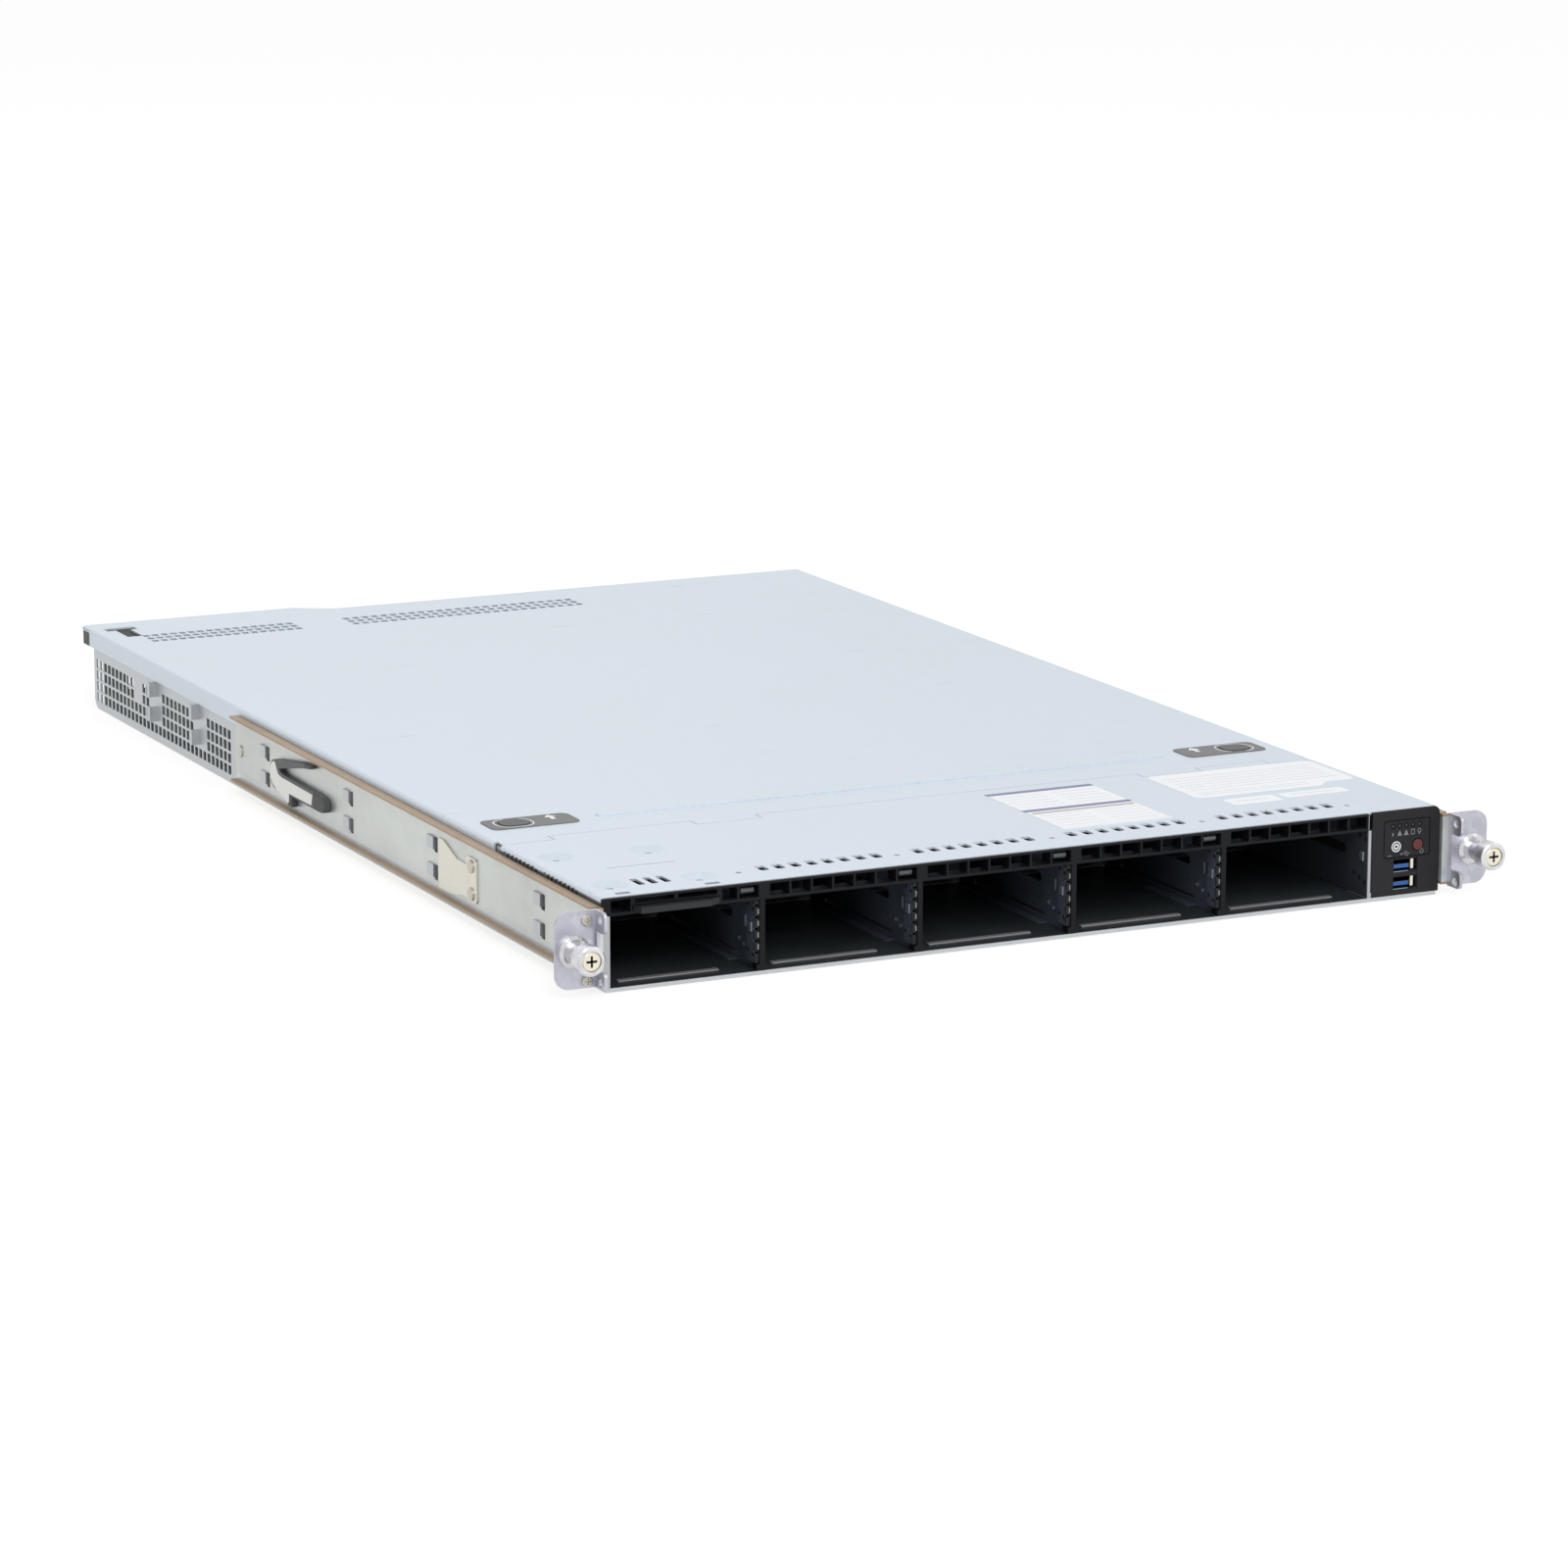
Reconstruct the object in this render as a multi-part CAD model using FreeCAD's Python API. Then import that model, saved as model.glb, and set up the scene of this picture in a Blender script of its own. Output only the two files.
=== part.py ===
import FreeCAD, Part
import math
import os

V = FreeCAD.Vector
X_AXIS = V(1, 0, 0)
Y_AXIS = V(0, 1, 0)
Z_AXIS = V(0, 0, 1)

# ---------------------------------------------------------------------------
# Driving dimensions in millimetres.  The model is drawn with y = 0 at the
# front plane of the bezel, +Y towards the rear, x = 0 on the centre line and
# z = 0 under the tray.  save() moves it to the centre of its footprint.
# ---------------------------------------------------------------------------
EAR_SPAN = 482.6          # over both ears, the 19 inch standard
SCREW_SPAN = 465.1        # between the two captive screws, the 19 inch standard
BODY_WIDTH = 434.0        # over the covers' side flanges
BODY_HEIGHT = 43.0        # to the top of the covers
COVER_REAR = 706.0        # rear edge of the main cover, left part
COVER_STEP = 12.0         # the rest of the rear edge stands this much further in
WALL_REAR = 691.0         # rear edge of the tray's side walls
PANEL_REAR = 678.0        # outer face of the rear panel
SHEET = 1.0               # folded sheet of tray and covers
BEND = 2.0                # outer bend radius of the covers
GAP = 0.4                 # between pieces that move against each other

HALF = BODY_WIDTH / 2
WALL_OUT = HALF - SHEET - GAP          # outer face of the tray's side walls
WALL_IN = WALL_OUT - SHEET
COVER_UNDER = BODY_HEIGHT - SHEET
MAIN_WALL_TOP = COVER_UNDER - 0.6      # walls stay clear of the sliding cover
WALL_FRONT = 1.5                       # covers and walls start behind the bezel's face
LIP_TOP = 1.8                          # the tray's front lip

# Seam between the two covers: the main cover has tabs that reach forward
SEAM_Y = 123.0
TAB_Y = 115.5
TAB_SPANS = ((-HALF, -190.0), (-117.0, -84.0), (121.5, 153.5), (192.5, HALF))
FLANGE_LOW = 33.6        # lower edge of the main cover's side flanges
COVER_TRAVEL = 12.0

# Drive bays
BAY_LEFT = -213.3
BAY_PITCH = 79.3
DIVIDER_XS = tuple(-139.0 + BAY_PITCH * i for i in range(4))
POST_LEFT, POST_RIGHT = -0.9, 1.6      # the bezel's posts, from a divider's middle
STRIP_LEFT = -3.0                      # metal strip beside each post
BAY_TOP = 34.6
CAGE_SHEET = 0.8
CAGE_REAR = 112.0
CAGE_RIGHT = 178.6
CAGE_FLOOR_TOP = SHEET + CAGE_SHEET

# Bezel frame
BAND_TOP = 42.6
BAND_DEPTH = 8.0
CELL_PITCH = 10.7
CELL_WIDTH = 9.7
CELL_LOW = 35.9
CELL_HIGH = 41.6
CELLS = 7
TAG_LEFT = -202.0
TAG_RIGHT = -160.0
TAG_LOW = 37.0
TAG_THICK = 1.2
TAG_LENGTH = 62.0
TAG_TRAVEL = 45.0

# Control panel
PANEL_LEFT = 180.0
PANEL_DEPTH = 24.0
PANEL_FACE = 1.4
LOCATE_X, POWER_X, BUTTON_Z = 193.0, 205.0, 25.5
BUTTON_R = 2.6
LED_X0, LED_PITCH, LED_Z, LED_R = 191.3, 3.65, 35.4, 0.7
USB_X = 198.5
USB_ZS = (7.7, 16.1)
USB_W, USB_H = 13.6, 6.6
PANEL_BOARD_Y = 16.0

# Slide rails: a channel open to the outside
RAIL_IN = 217.4
RAIL_WEB = 1.2
RAIL_OUT = 222.0
RAIL_LOW, RAIL_HIGH = 5.0, 39.2
RAIL_REAR = 459.0
RAIL_FRONT = -0.9
HOOK_YS = (63.0, 190.0, 298.5, 413.5)      # hooks that hold the rail
REAR_HOOK_YS = (523.0, 588.5)              # narrow hooks behind it, for a longer rail
HOOK_ZS = (15.2, 28.6)
HOOK_W, HOOK_LEN, HOOK_T = 6.0, 8.0, 1.2
REAR_HOOK_W, REAR_HOOK_LEN = 8.0, 4.0
HOOK_STAND = RAIL_IN + RAIL_WEB - WALL_OUT   # the hook plate clamps the rail's web

# Ears and captive screws
EAR_FRONT = -3.6
EAR_T = 1.5
EAR_LOW, EAR_HIGH = 4.4, 39.6
EAR_BEND = RAIL_OUT
LOBE_FRONT = -13.5
NOTCH_LOW, NOTCH_HIGH = 12.5, 30.0
BEZEL_HOLE_R = 2.1
BEZEL_HOLE_Y = -8.9
BEZEL_HOLE_ZS = (7.2, 35.6)
SCREW_Z = 21.5
EAR_SCREW_X = 226.2
EAR_SCREW_ZS = (7.6, 34.9)
FERRULE_R, FERRULE_T = 7.5, 3.0
NECK_R, NECK_BORE, NECK_FRONT = 4.7, 3.6, -17.0
KNOB_R, KNOB_FRONT, KNOB_REAR = 6.8, -24.0, -16.4
KNOB_WALL = 2.6
THREAD_R = 2.5
THUMB_TRAVEL = 4.0

# Latch plates in the main cover
LATCH_X, LATCH_Y = 185.6, 153.5
LATCH_W, LATCH_D, LATCH_T = 44.6, 20.0, 0.4
LATCH_BUTTON_X = 194.0
LATCH_BUTTON_W, LATCH_BUTTON_D = 14.0, 12.6
LATCH_TRAVEL = 2.5
WELL_WALL = 1.4
WELL_FLOOR = 34.0

# Vents
SIDE_PITCH, SIDE_SLOT, SIDE_REAR = 6.28, 4.3, 687.0
SIDE_ROWS = (4.2, 10.4, 16.6, 22.8)
SIDE_ROW_H = 4.8
SIDE_COLUMNS = 34
SIDE_GAPS = (14, 15, 16, 25, 26, 27)   # columns left solid beside the hooks, above the bottom row
UPPER_GAPS = (10, 11)                  # columns left solid in the two upper rows
TOP_VENT_YS = (645.0, 652.6, 660.2)
TOP_VENT_W, TOP_VENT_D = 3.8, 5.0
TOP_VENT_GROUPS = ((-197.0, 17, 5.2), (-80.0, 25, 5.6))   # left edge, columns, pitch

# Fans
FAN_COUNT = 5
FAN_SIZE, FAN_DEPTH = 40.0, 28.0
FAN_Y = 177.0
FAN_PITCH = 80.0
FAN_BORE = 18.8
FAN_HUB = 8.0
BLADES = 5

# Power supplies: x of the low side of each
PSU_XS = (63.0, 139.0)
PSU_W, PSU_H, PSU_L = 73.0, 39.4, 184.0
PSU_Z = SHEET + 0.5
PSU_REAR = 680.0
PSU_FRONT = PSU_REAR - PSU_L
PSU_WALL = 1.0
HANDLE_REACH = 16.0
PSU_FAN_R = 16.0
INLET_W, INLET_H, INLET_DEPTH = 24.0, 16.0, 17.0

BOARD_Z, BOARD_T = 6.0, 1.6

FRONT_REACH = KNOB_FRONT
REAR_REACH = COVER_REAR
CENTRE_Y = (FRONT_REACH + REAR_REACH) / 2


# ---------------------------------------------------------------------------
# Small tools
# ---------------------------------------------------------------------------
def block(x0, x1, y0, y1, z0, z1):
    """A box between two corners, in any order of each pair."""
    low = V(min(x0, x1), min(y0, y1), min(z0, z1))
    return Part.makeBox(abs(x1 - x0), abs(y1 - y0), abs(z1 - z0), low)


def rod(radius, start, axis, length):
    return Part.makeCylinder(radius, length, start, axis)


def tube(outer, inner, start, axis, length):
    return rod(outer, start, axis, length).cut(rod(inner, start, axis, length))


def rounded(box, radius, axis):
    """Rounds the box's four edges that run along the axis."""
    edges = [e for e in box.Edges if abs(e.tangentAt(e.FirstParameter).dot(axis)) > 0.99]
    return box.makeFillet(radius, edges)


def prism(points, thickness):
    """Pushes a closed outline of vectors along a vector."""
    return Part.Face(Part.makePolygon(points + [points[0]])).extrude(thickness)


def join(*shapes):
    return shapes[0].fuse(list(shapes[1:])).removeSplitter()


def mirrored(shape):
    return shape.mirror(V(0, 0, 0), X_AXIS)


def group(shapes):
    return Part.makeCompound(shapes)


def save(name, shape):
    """Writes one node, moved so that the origin is the bottom centre of the whole."""
    placed = shape.copy()
    placed.translate(V(0, -CENTRE_Y, 0))
    placed.exportStep("parts/" + name + ".step")


def on_both_sides(name, right_shape):
    save(name + "_right", right_shape)
    save(name + "_left", mirrored(right_shape))


# ---------------------------------------------------------------------------
# Tray and covers
# ---------------------------------------------------------------------------
def side_vents():
    """Rear side slots: a long bottom row, and three rows broken beside the hooks."""
    cuts = []
    for row, low in enumerate(SIDE_ROWS):
        for column in range(SIDE_COLUMNS):
            solid = (row > 0 and column in SIDE_GAPS) or (row > 1 and column in UPPER_GAPS)
            if solid:
                continue
            rear = SIDE_REAR - column * SIDE_PITCH
            cuts.append(block(WALL_IN - 1, WALL_OUT + 1, rear - SIDE_SLOT, rear, low, low + SIDE_ROW_H))
    return cuts


def front_side_slots():
    """Two groups of narrow slots high in wall and cover flange, beside the drive bays."""
    cuts = []
    for start in (30.0, 76.0):
        for i in range(8):
            y = start + i * 4.6
            cuts.append(block(WALL_IN - 1, HALF + 1, y, y + 2.4, 35.4, 41.4))
    return cuts


def tray_wall():
    wall = join(
        block(WALL_IN, WALL_OUT, WALL_FRONT, TAB_Y, 0, COVER_UNDER - 0.3),
        block(WALL_IN, WALL_OUT, TAB_Y, WALL_REAR, 0, MAIN_WALL_TOP),
    )
    heel = [
        e for e in wall.Edges
        if e.BoundBox.XLength > 0.5 * SHEET and e.BoundBox.YMin > WALL_REAR - 0.1
        and e.BoundBox.ZMax < 0.1
    ]
    return wall.makeFillet(6.0, heel).cut(side_vents() + front_side_slots())


def chassis_tray():
    wall = tray_wall()
    floor = block(-WALL_OUT, WALL_OUT, 0, PANEL_REAR - 6, 0, SHEET)
    rear_floor = block(-WALL_IN, WALL_IN, PANEL_REAR - 6, PANEL_REAR, 0, SHEET)
    lip = block(-WALL_OUT, WALL_OUT, 0, SHEET, 0, LIP_TOP)
    standoffs = []
    for x in (-190.0, -20.0, 190.0):
        for y in (230.0, 440.0):
            standoffs.append(rod(3.2, V(x, y, SHEET), Z_AXIS, BOARD_Z - SHEET))
    for x in (-190.0, 20.0):
        standoffs.append(rod(3.2, V(x, 640.0, SHEET), Z_AXIS, BOARD_Z - SHEET))
    return join(floor, rear_floor, lip, wall, mirrored(wall), *standoffs)


def folded_cover(y0, y1, flange_low):
    """A cover sheet with a rounded bend and a flange down each side."""
    outer = rounded_top(block(-HALF, HALF, y0, y1, flange_low, BODY_HEIGHT), BEND)
    inner = block(-HALF + SHEET, HALF - SHEET, y0 - 1, y1 + 1, flange_low - 1, COVER_UNDER)
    return outer.cut(rounded_top(inner, BEND - SHEET))


def rounded_top(box, radius):
    top = box.BoundBox.ZMax
    edges = [
        e for e in box.Edges
        if e.BoundBox.YLength > 1 and e.BoundBox.ZMin > top - 0.01
    ]
    return box.makeFillet(radius, edges)


def seam_tabs(extra):
    """The main cover's forward tabs, grown by extra all round where they are cut out."""
    tabs = []
    for left, right in TAB_SPANS:
        tabs.append(block(left - extra, right + extra, TAB_Y - extra, SEAM_Y + 5, 0, BODY_HEIGHT + 1))
    return tabs


def screw_dimple(x, y):
    """A drawn dimple for a countersunk screw: what is added below and what is cut out."""
    depth = 2.0
    added = Part.makeCone(5.4, 8.6, depth + 0.2, V(x, y, COVER_UNDER - depth))
    cone = Part.makeCone(4.6, 8.6, depth, V(x, y, BODY_HEIGHT - depth))
    hole = rod(1.7, V(x, y, COVER_UNDER - depth - 1), Z_AXIS, 5)
    return added, [cone, hole]


def front_cover():
    sheet = folded_cover(WALL_FRONT, SEAM_Y - GAP, 40.8).cut(seam_tabs(GAP))
    cuts = []
    for i in range(3):
        left = -191.4 + 6.4 * i
        cuts.append(rounded(block(left, left + 3.4, 17, 29, 40, 50), 1.2, Z_AXIS))
    for left in (-130.3, -51.6, 28.2, 108.6):
        for i in range(8):
            x = left + 8.2 * i
            cuts.append(rounded(block(x, x + 4.4, 18.6, 27.4, 40, 50), 1.5, Z_AXIS))
    for x in (-141.3, -61.5, 18.6, 98.4, 177.2):
        cuts.append(rod(1.4, V(x, 19.5, 40), Z_AXIS, 6))
    slots = front_side_slots()
    cuts.extend(slots + [mirrored(slot) for slot in slots])
    for x in (-204.4, -160.5):
        cuts.append(block(x - 3.5, x + 3.5, 4.5, 8.0, 40, 50))
    cuts.append(block(-192.0, -158.0, 52.0, 52.7, 40, 50))
    dimples = [screw_dimple(x, y) for x, y in ((-203, 83), (-159, 79), (-203, 23), (-160, 21))]
    for added, _ in dimples:
        sheet = sheet.fuse(added)
    for _, removed in dimples:
        cuts.extend(removed)
    return sheet.cut(cuts).removeSplitter()


def latch_opening(extra, low, high):
    """The well that a latch button moves in, on the right side."""
    half_w = LATCH_BUTTON_W / 2 + extra
    half_d = LATCH_BUTTON_D / 2 + extra
    box = block(LATCH_BUTTON_X - half_w, LATCH_BUTTON_X + half_w,
                LATCH_Y - half_d, LATCH_Y + half_d, low, high)
    return rounded(box, 4.5 + extra, Z_AXIS)


def top_cover():
    sheet = folded_cover(SEAM_Y, COVER_REAR, FLANGE_LOW)
    for left, right in TAB_SPANS:
        inset_l = max(left, -HALF + BEND)
        inset_r = min(right, HALF - BEND)
        sheet = sheet.fuse(block(inset_l, inset_r, TAB_Y, SEAM_Y, COVER_UNDER, BODY_HEIGHT))
    bead = rounded(block(-152, 153, 150.0, 156.0, COVER_UNDER, BODY_HEIGHT + 0.5), 2.4, Z_AXIS)
    sheet = sheet.fuse(bead)
    cuts = []
    for left, columns, pitch in TOP_VENT_GROUPS:
        for y in TOP_VENT_YS:
            for i in range(columns):
                x = left + i * pitch
                cuts.append(block(x, x + TOP_VENT_W, y, y + TOP_VENT_D, 40, 50))
    cuts.append(block(-205.0, -196.5, 664, 684, 40, 50))
    cuts.append(block(-210.0, -192.5, 684, 691, 40, 50))
    well = latch_opening(GAP + WELL_WALL, 40, 50)
    cuts.extend([well, mirrored(well)])
    # the rear edge steps in along a slant, and the flanges end before it
    step_y = COVER_REAR - COVER_STEP
    cuts.append(prism([
        V(-94, COVER_REAR + 1, 30), V(-94, COVER_REAR, 30), V(-72, step_y, 30),
        V(HALF + 1, step_y, 30), V(HALF + 1, COVER_REAR + 1, 30),
    ], V(0, 0, 20)))
    cuts.append(block(-HALF - 1, -HALF + BEND, step_y, COVER_REAR + 1, 30, 41))
    return sheet.cut(cuts).removeSplitter()


def latch_frame():
    """A shallow plate on the cover, with the well that holds the button."""
    plate = rounded(block(LATCH_X - LATCH_W / 2, LATCH_X + LATCH_W / 2,
                          LATCH_Y - LATCH_D / 2, LATCH_Y + LATCH_D / 2,
                          BODY_HEIGHT, BODY_HEIGHT + LATCH_T), 4.0, Z_AXIS)
    well = latch_opening(GAP + WELL_WALL, WELL_FLOOR, BODY_HEIGHT)
    return join(plate, well).cut(latch_opening(GAP, WELL_FLOOR + SHEET, BODY_HEIGHT + 1))


def latch_button():
    low = WELL_FLOOR + SHEET + LATCH_TRAVEL + GAP
    return latch_opening(0, low, BODY_HEIGHT + 0.8)


# ---------------------------------------------------------------------------
# Drive bays, bezel and tag
# ---------------------------------------------------------------------------
def bay_edges():
    """Left and right x of each bay."""
    lefts = [BAY_LEFT] + [x + POST_RIGHT for x in DIVIDER_XS]
    rights = [x + STRIP_LEFT for x in DIVIDER_XS] + [CAGE_RIGHT - CAGE_SHEET]
    return list(zip(lefts, rights))


def drive_cage():
    floor = block(-WALL_IN, CAGE_RIGHT, SHEET, CAGE_REAR, SHEET, CAGE_FLOOR_TOP)
    left_wall = join(
        block(-WALL_IN, -WALL_IN + CAGE_SHEET, CAGE_SHEET, CAGE_REAR, LIP_TOP, BAY_TOP),
        block(-WALL_IN, -WALL_IN + CAGE_SHEET, WALL_FRONT, CAGE_REAR, BAY_TOP, COVER_UNDER),
    )
    left_foot = block(-WALL_IN, -WALL_IN + CAGE_SHEET, SHEET, CAGE_REAR, SHEET, LIP_TOP)
    left_flange = block(-216.4, BAY_LEFT, 0, CAGE_SHEET, LIP_TOP, BAY_TOP)
    right_wall = block(CAGE_RIGHT - CAGE_SHEET, CAGE_RIGHT, CAGE_SHEET, CAGE_REAR, LIP_TOP, COVER_UNDER)
    right_foot = block(CAGE_RIGHT - CAGE_SHEET, CAGE_RIGHT, SHEET, CAGE_REAR, SHEET, LIP_TOP)
    right_flange = block(CAGE_RIGHT - CAGE_SHEET, PANEL_LEFT - 0.2, 0, CAGE_SHEET, LIP_TOP, BAY_TOP)
    ribs = []
    for left, right in bay_edges():
        ribs.append(block(left + 8, right - 14, 9, 12, SHEET, CAGE_FLOOR_TOP + 0.6))
    return join(floor, left_wall, left_foot, left_flange, right_wall, right_foot, right_flange, *ribs)


def divider_strip(x):
    """Folded metal strip beside the bezel's post, slit into contact fingers."""
    left, right = x + STRIP_LEFT, x + POST_LEFT
    low, high = LIP_TOP + 3.6, BAY_TOP - 0.4
    front = block(left, right, 1.0, 1.8, low, high)
    leg = block(left, left + 0.8, 1.0, BAND_DEPTH + 1.6, low, high)
    back = block(left, x, BAND_DEPTH + 0.8, BAND_DEPTH + 1.6, low, high)
    slits = []
    z = low + 4.2
    while z < high - 2:
        slits.append(block(left - 1, right - 0.4, 0, 2.6, z, z + 1.1))
        z += 5.4
    return join(front, leg, back).cut(slits)


def bay_divider(x):
    """Upright sheet between two bays: guide groove, catch window, rimmed holes and a foot."""
    sheet = block(x - 0.5, x + 0.5, BAND_DEPTH, CAGE_REAR, CAGE_FLOOR_TOP, COVER_UNDER)
    foot = block(x - 5.5, x - 0.5, 24, 104, CAGE_FLOOR_TOP, CAGE_FLOOR_TOP + 0.7)
    groove = rounded(block(x - 1, x + 1, 30, CAGE_REAR + 9, 19.6, 24.4), 2.3, X_AXIS)
    cuts = [
        block(x - 1, x + 1, 14, 17, 18.6, 24.2),
        groove.common(block(x - 1, x + 1, 0, CAGE_REAR - 6, 0, 50)),
        block(x - 1, x + 1, 26, 96, 4.4, 6.2),
    ]
    rims = []
    for y, z in ((12, 30), (17, 31.4), (22, 32.8), (12, 9), (17, 10.6), (22, 12.2)):
        rims.append(rod(1.9, V(x - 0.9, y, z), X_AXIS, 0.5))
        cuts.append(rod(1.2, V(x - 1, y, z), X_AXIS, 2))
    rivets = [rod(1.3, V(x - 3.2, y, CAGE_FLOOR_TOP + 0.6), Z_AXIS, 0.3) for y in (30, 64, 98)]
    return join(sheet, foot, divider_strip(x), *rims, *rivets).cut(cuts)


def divider_clip(x):
    """Spring clip beside the top of a divider: a strip with a rolled front end."""
    left, right = x - 9.4, x - 2.9
    roll = tube(1.9, 1.3, V(left, 4.0, 38.8), X_AXIS, right - left)
    roll = roll.cut(block(left - 1, right + 1, 4.0, 8.0, 36, 40.0))
    strip = block(left, right, 4.0, BAND_DEPTH + 1, 40.1, 40.7)
    bridge = block(left, x - 0.5, BAND_DEPTH + 1, 18.0, 40.1, 40.7)
    ear_plate = block(x - 1.5, x - 0.5, BAND_DEPTH + 1, 18.0, 36.0, 40.1)
    return join(roll, strip, bridge, ear_plate)


def bezel_post(x):
    """Black post in front of a divider, with a rounded foot."""
    post = block(x + POST_LEFT, x + POST_RIGHT, 0, BAND_DEPTH, LIP_TOP, BAY_TOP + 1)
    foot = rounded(block(x - 2.6, x + 2.6, 0, 3.0, LIP_TOP, LIP_TOP + 3.2), 1.3, Y_AXIS)
    return post.fuse(foot)


def bezel_frame():
    body = join(
        block(-HALF, CAGE_RIGHT - CAGE_SHEET, 0, WALL_FRONT, BAY_TOP, BAND_TOP),
        block(-WALL_IN + CAGE_SHEET, CAGE_RIGHT - CAGE_SHEET, 0, BAND_DEPTH, BAY_TOP, COVER_UNDER),
        *[bezel_post(x) for x in DIVIDER_XS],
    )
    cells = []
    last_edges = [x + POST_LEFT - 0.5 for x in DIVIDER_XS] + [CAGE_RIGHT - CAGE_SHEET - 1.0]
    for right in last_edges[1:]:
        for i in range(CELLS):
            x = right - CELL_WIDTH - i * CELL_PITCH
            cells.append(block(x, x + CELL_WIDTH, -1, BAND_DEPTH + 1, CELL_LOW, CELL_HIGH))
    right = last_edges[0]
    for left, end in ((right - CELL_WIDTH, right), (-158.6, right - CELL_PITCH), (-212.9, -203.2)):
        cells.append(block(left, end, -1, BAND_DEPTH + 1, CELL_LOW, CELL_HIGH))
    for left in (TAG_LEFT + 1, TAG_LEFT + 22):
        cells.append(block(left, left + 19, -1, BAND_DEPTH + 1, 39.4, CELL_HIGH))
    tag_slot = block(TAG_LEFT - GAP, TAG_RIGHT + GAP, -1, BAND_DEPTH + 1,
                     TAG_LOW - GAP, TAG_LOW + TAG_THICK + GAP)
    return body.cut(cells + [tag_slot])


def info_tag():
    """Pull-out tag: a thin tongue with a bevelled grip bar in front of the bezel."""
    tongue = block(TAG_LEFT, TAG_RIGHT, -GAP, TAG_LENGTH, TAG_LOW, TAG_LOW + TAG_THICK)
    grip = prism([
        V(TAG_LEFT, -GAP, 35.4), V(TAG_LEFT + 2, -4.6, 35.4),
        V(TAG_RIGHT - 6, -4.6, 35.4), V(TAG_RIGHT, -GAP, 35.4),
    ], V(0, 0, 2.8))
    return join(tongue, grip)


# ---------------------------------------------------------------------------
# Control panel
# ---------------------------------------------------------------------------
def control_panel():
    face = block(PANEL_LEFT, HALF, 0, PANEL_FACE, LIP_TOP, BODY_HEIGHT)
    corner = [
        e for e in face.Edges
        if e.BoundBox.YLength > 1 and e.BoundBox.XMin > HALF - 0.1 and e.BoundBox.ZMin > 40
    ]
    face = face.makeFillet(3.0, corner)
    shell = block(PANEL_LEFT, WALL_IN, PANEL_FACE, PANEL_DEPTH, LIP_TOP, COVER_UNDER)
    hollow = block(PANEL_LEFT + 1.5, WALL_IN - 1.5, PANEL_FACE, PANEL_DEPTH + 1,
                   LIP_TOP + 1.2, COVER_UNDER - 1.5)
    body = join(face, shell.cut(hollow))
    cuts = [
        rod(BUTTON_R + 0.3, V(x, -1, BUTTON_Z), Y_AXIS, 4) for x in (LOCATE_X, POWER_X)
    ]
    for i in range(5):
        cuts.append(rod(LED_R + 0.05, V(LED_X0 + i * LED_PITCH, -1, LED_Z), Y_AXIS, 4))
    for z in USB_ZS:
        cuts.append(block(USB_X - USB_W / 2, USB_X + USB_W / 2, -1, 4, z - USB_H / 2, z + USB_H / 2))
    return body.cut(cuts)


def panel_button(x):
    """Round push button: cap through the face and a wider foot behind it."""
    cap = rod(BUTTON_R, V(x, -0.3, BUTTON_Z), Y_AXIS, PANEL_FACE + 1.0)
    foot = rod(BUTTON_R + 0.9, V(x, PANEL_FACE + GAP, BUTTON_Z), Y_AXIS, 2.0)
    stem = rod(1.2, V(x, PANEL_FACE + 2, BUTTON_Z), Y_AXIS, PANEL_BOARD_Y - PANEL_FACE - 4.5)
    return join(cap, foot, stem)


def light_pipes():
    pipes = []
    for i in range(5):
        pipes.append(rod(LED_R, V(LED_X0 + i * LED_PITCH, 0.1, LED_Z), Y_AXIS, PANEL_BOARD_Y - 0.1))
    bar = block(LED_X0 - 1.5, LED_X0 + 4 * LED_PITCH + 1.5, 10, 12, LED_Z - 1.5, LED_Z + 1.5)
    return join(bar, *pipes)


def usb_port(z):
    """Metal shell and the contact tongue inside it, as two solids."""
    left, right = USB_X - USB_W / 2, USB_X + USB_W / 2
    shell = block(left, right, 0.4, PANEL_BOARD_Y, z - USB_H / 2, z + USB_H / 2)
    cavity = block(left + 0.5, right - 0.5, -1, PANEL_BOARD_Y - 2, z - USB_H / 2 + 0.6, z + USB_H / 2 - 0.6)
    tongue = block(left + 1.2, right - 1.2, 1.6, PANEL_BOARD_Y - 2, z - 1.6, z + 0.3)
    return [shell.cut(cavity), tongue]


def panel_board():
    return block(PANEL_LEFT + 1.5, WALL_IN - 1.5, PANEL_BOARD_Y, PANEL_BOARD_Y + BOARD_T, 3.6, 39.5)


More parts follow.
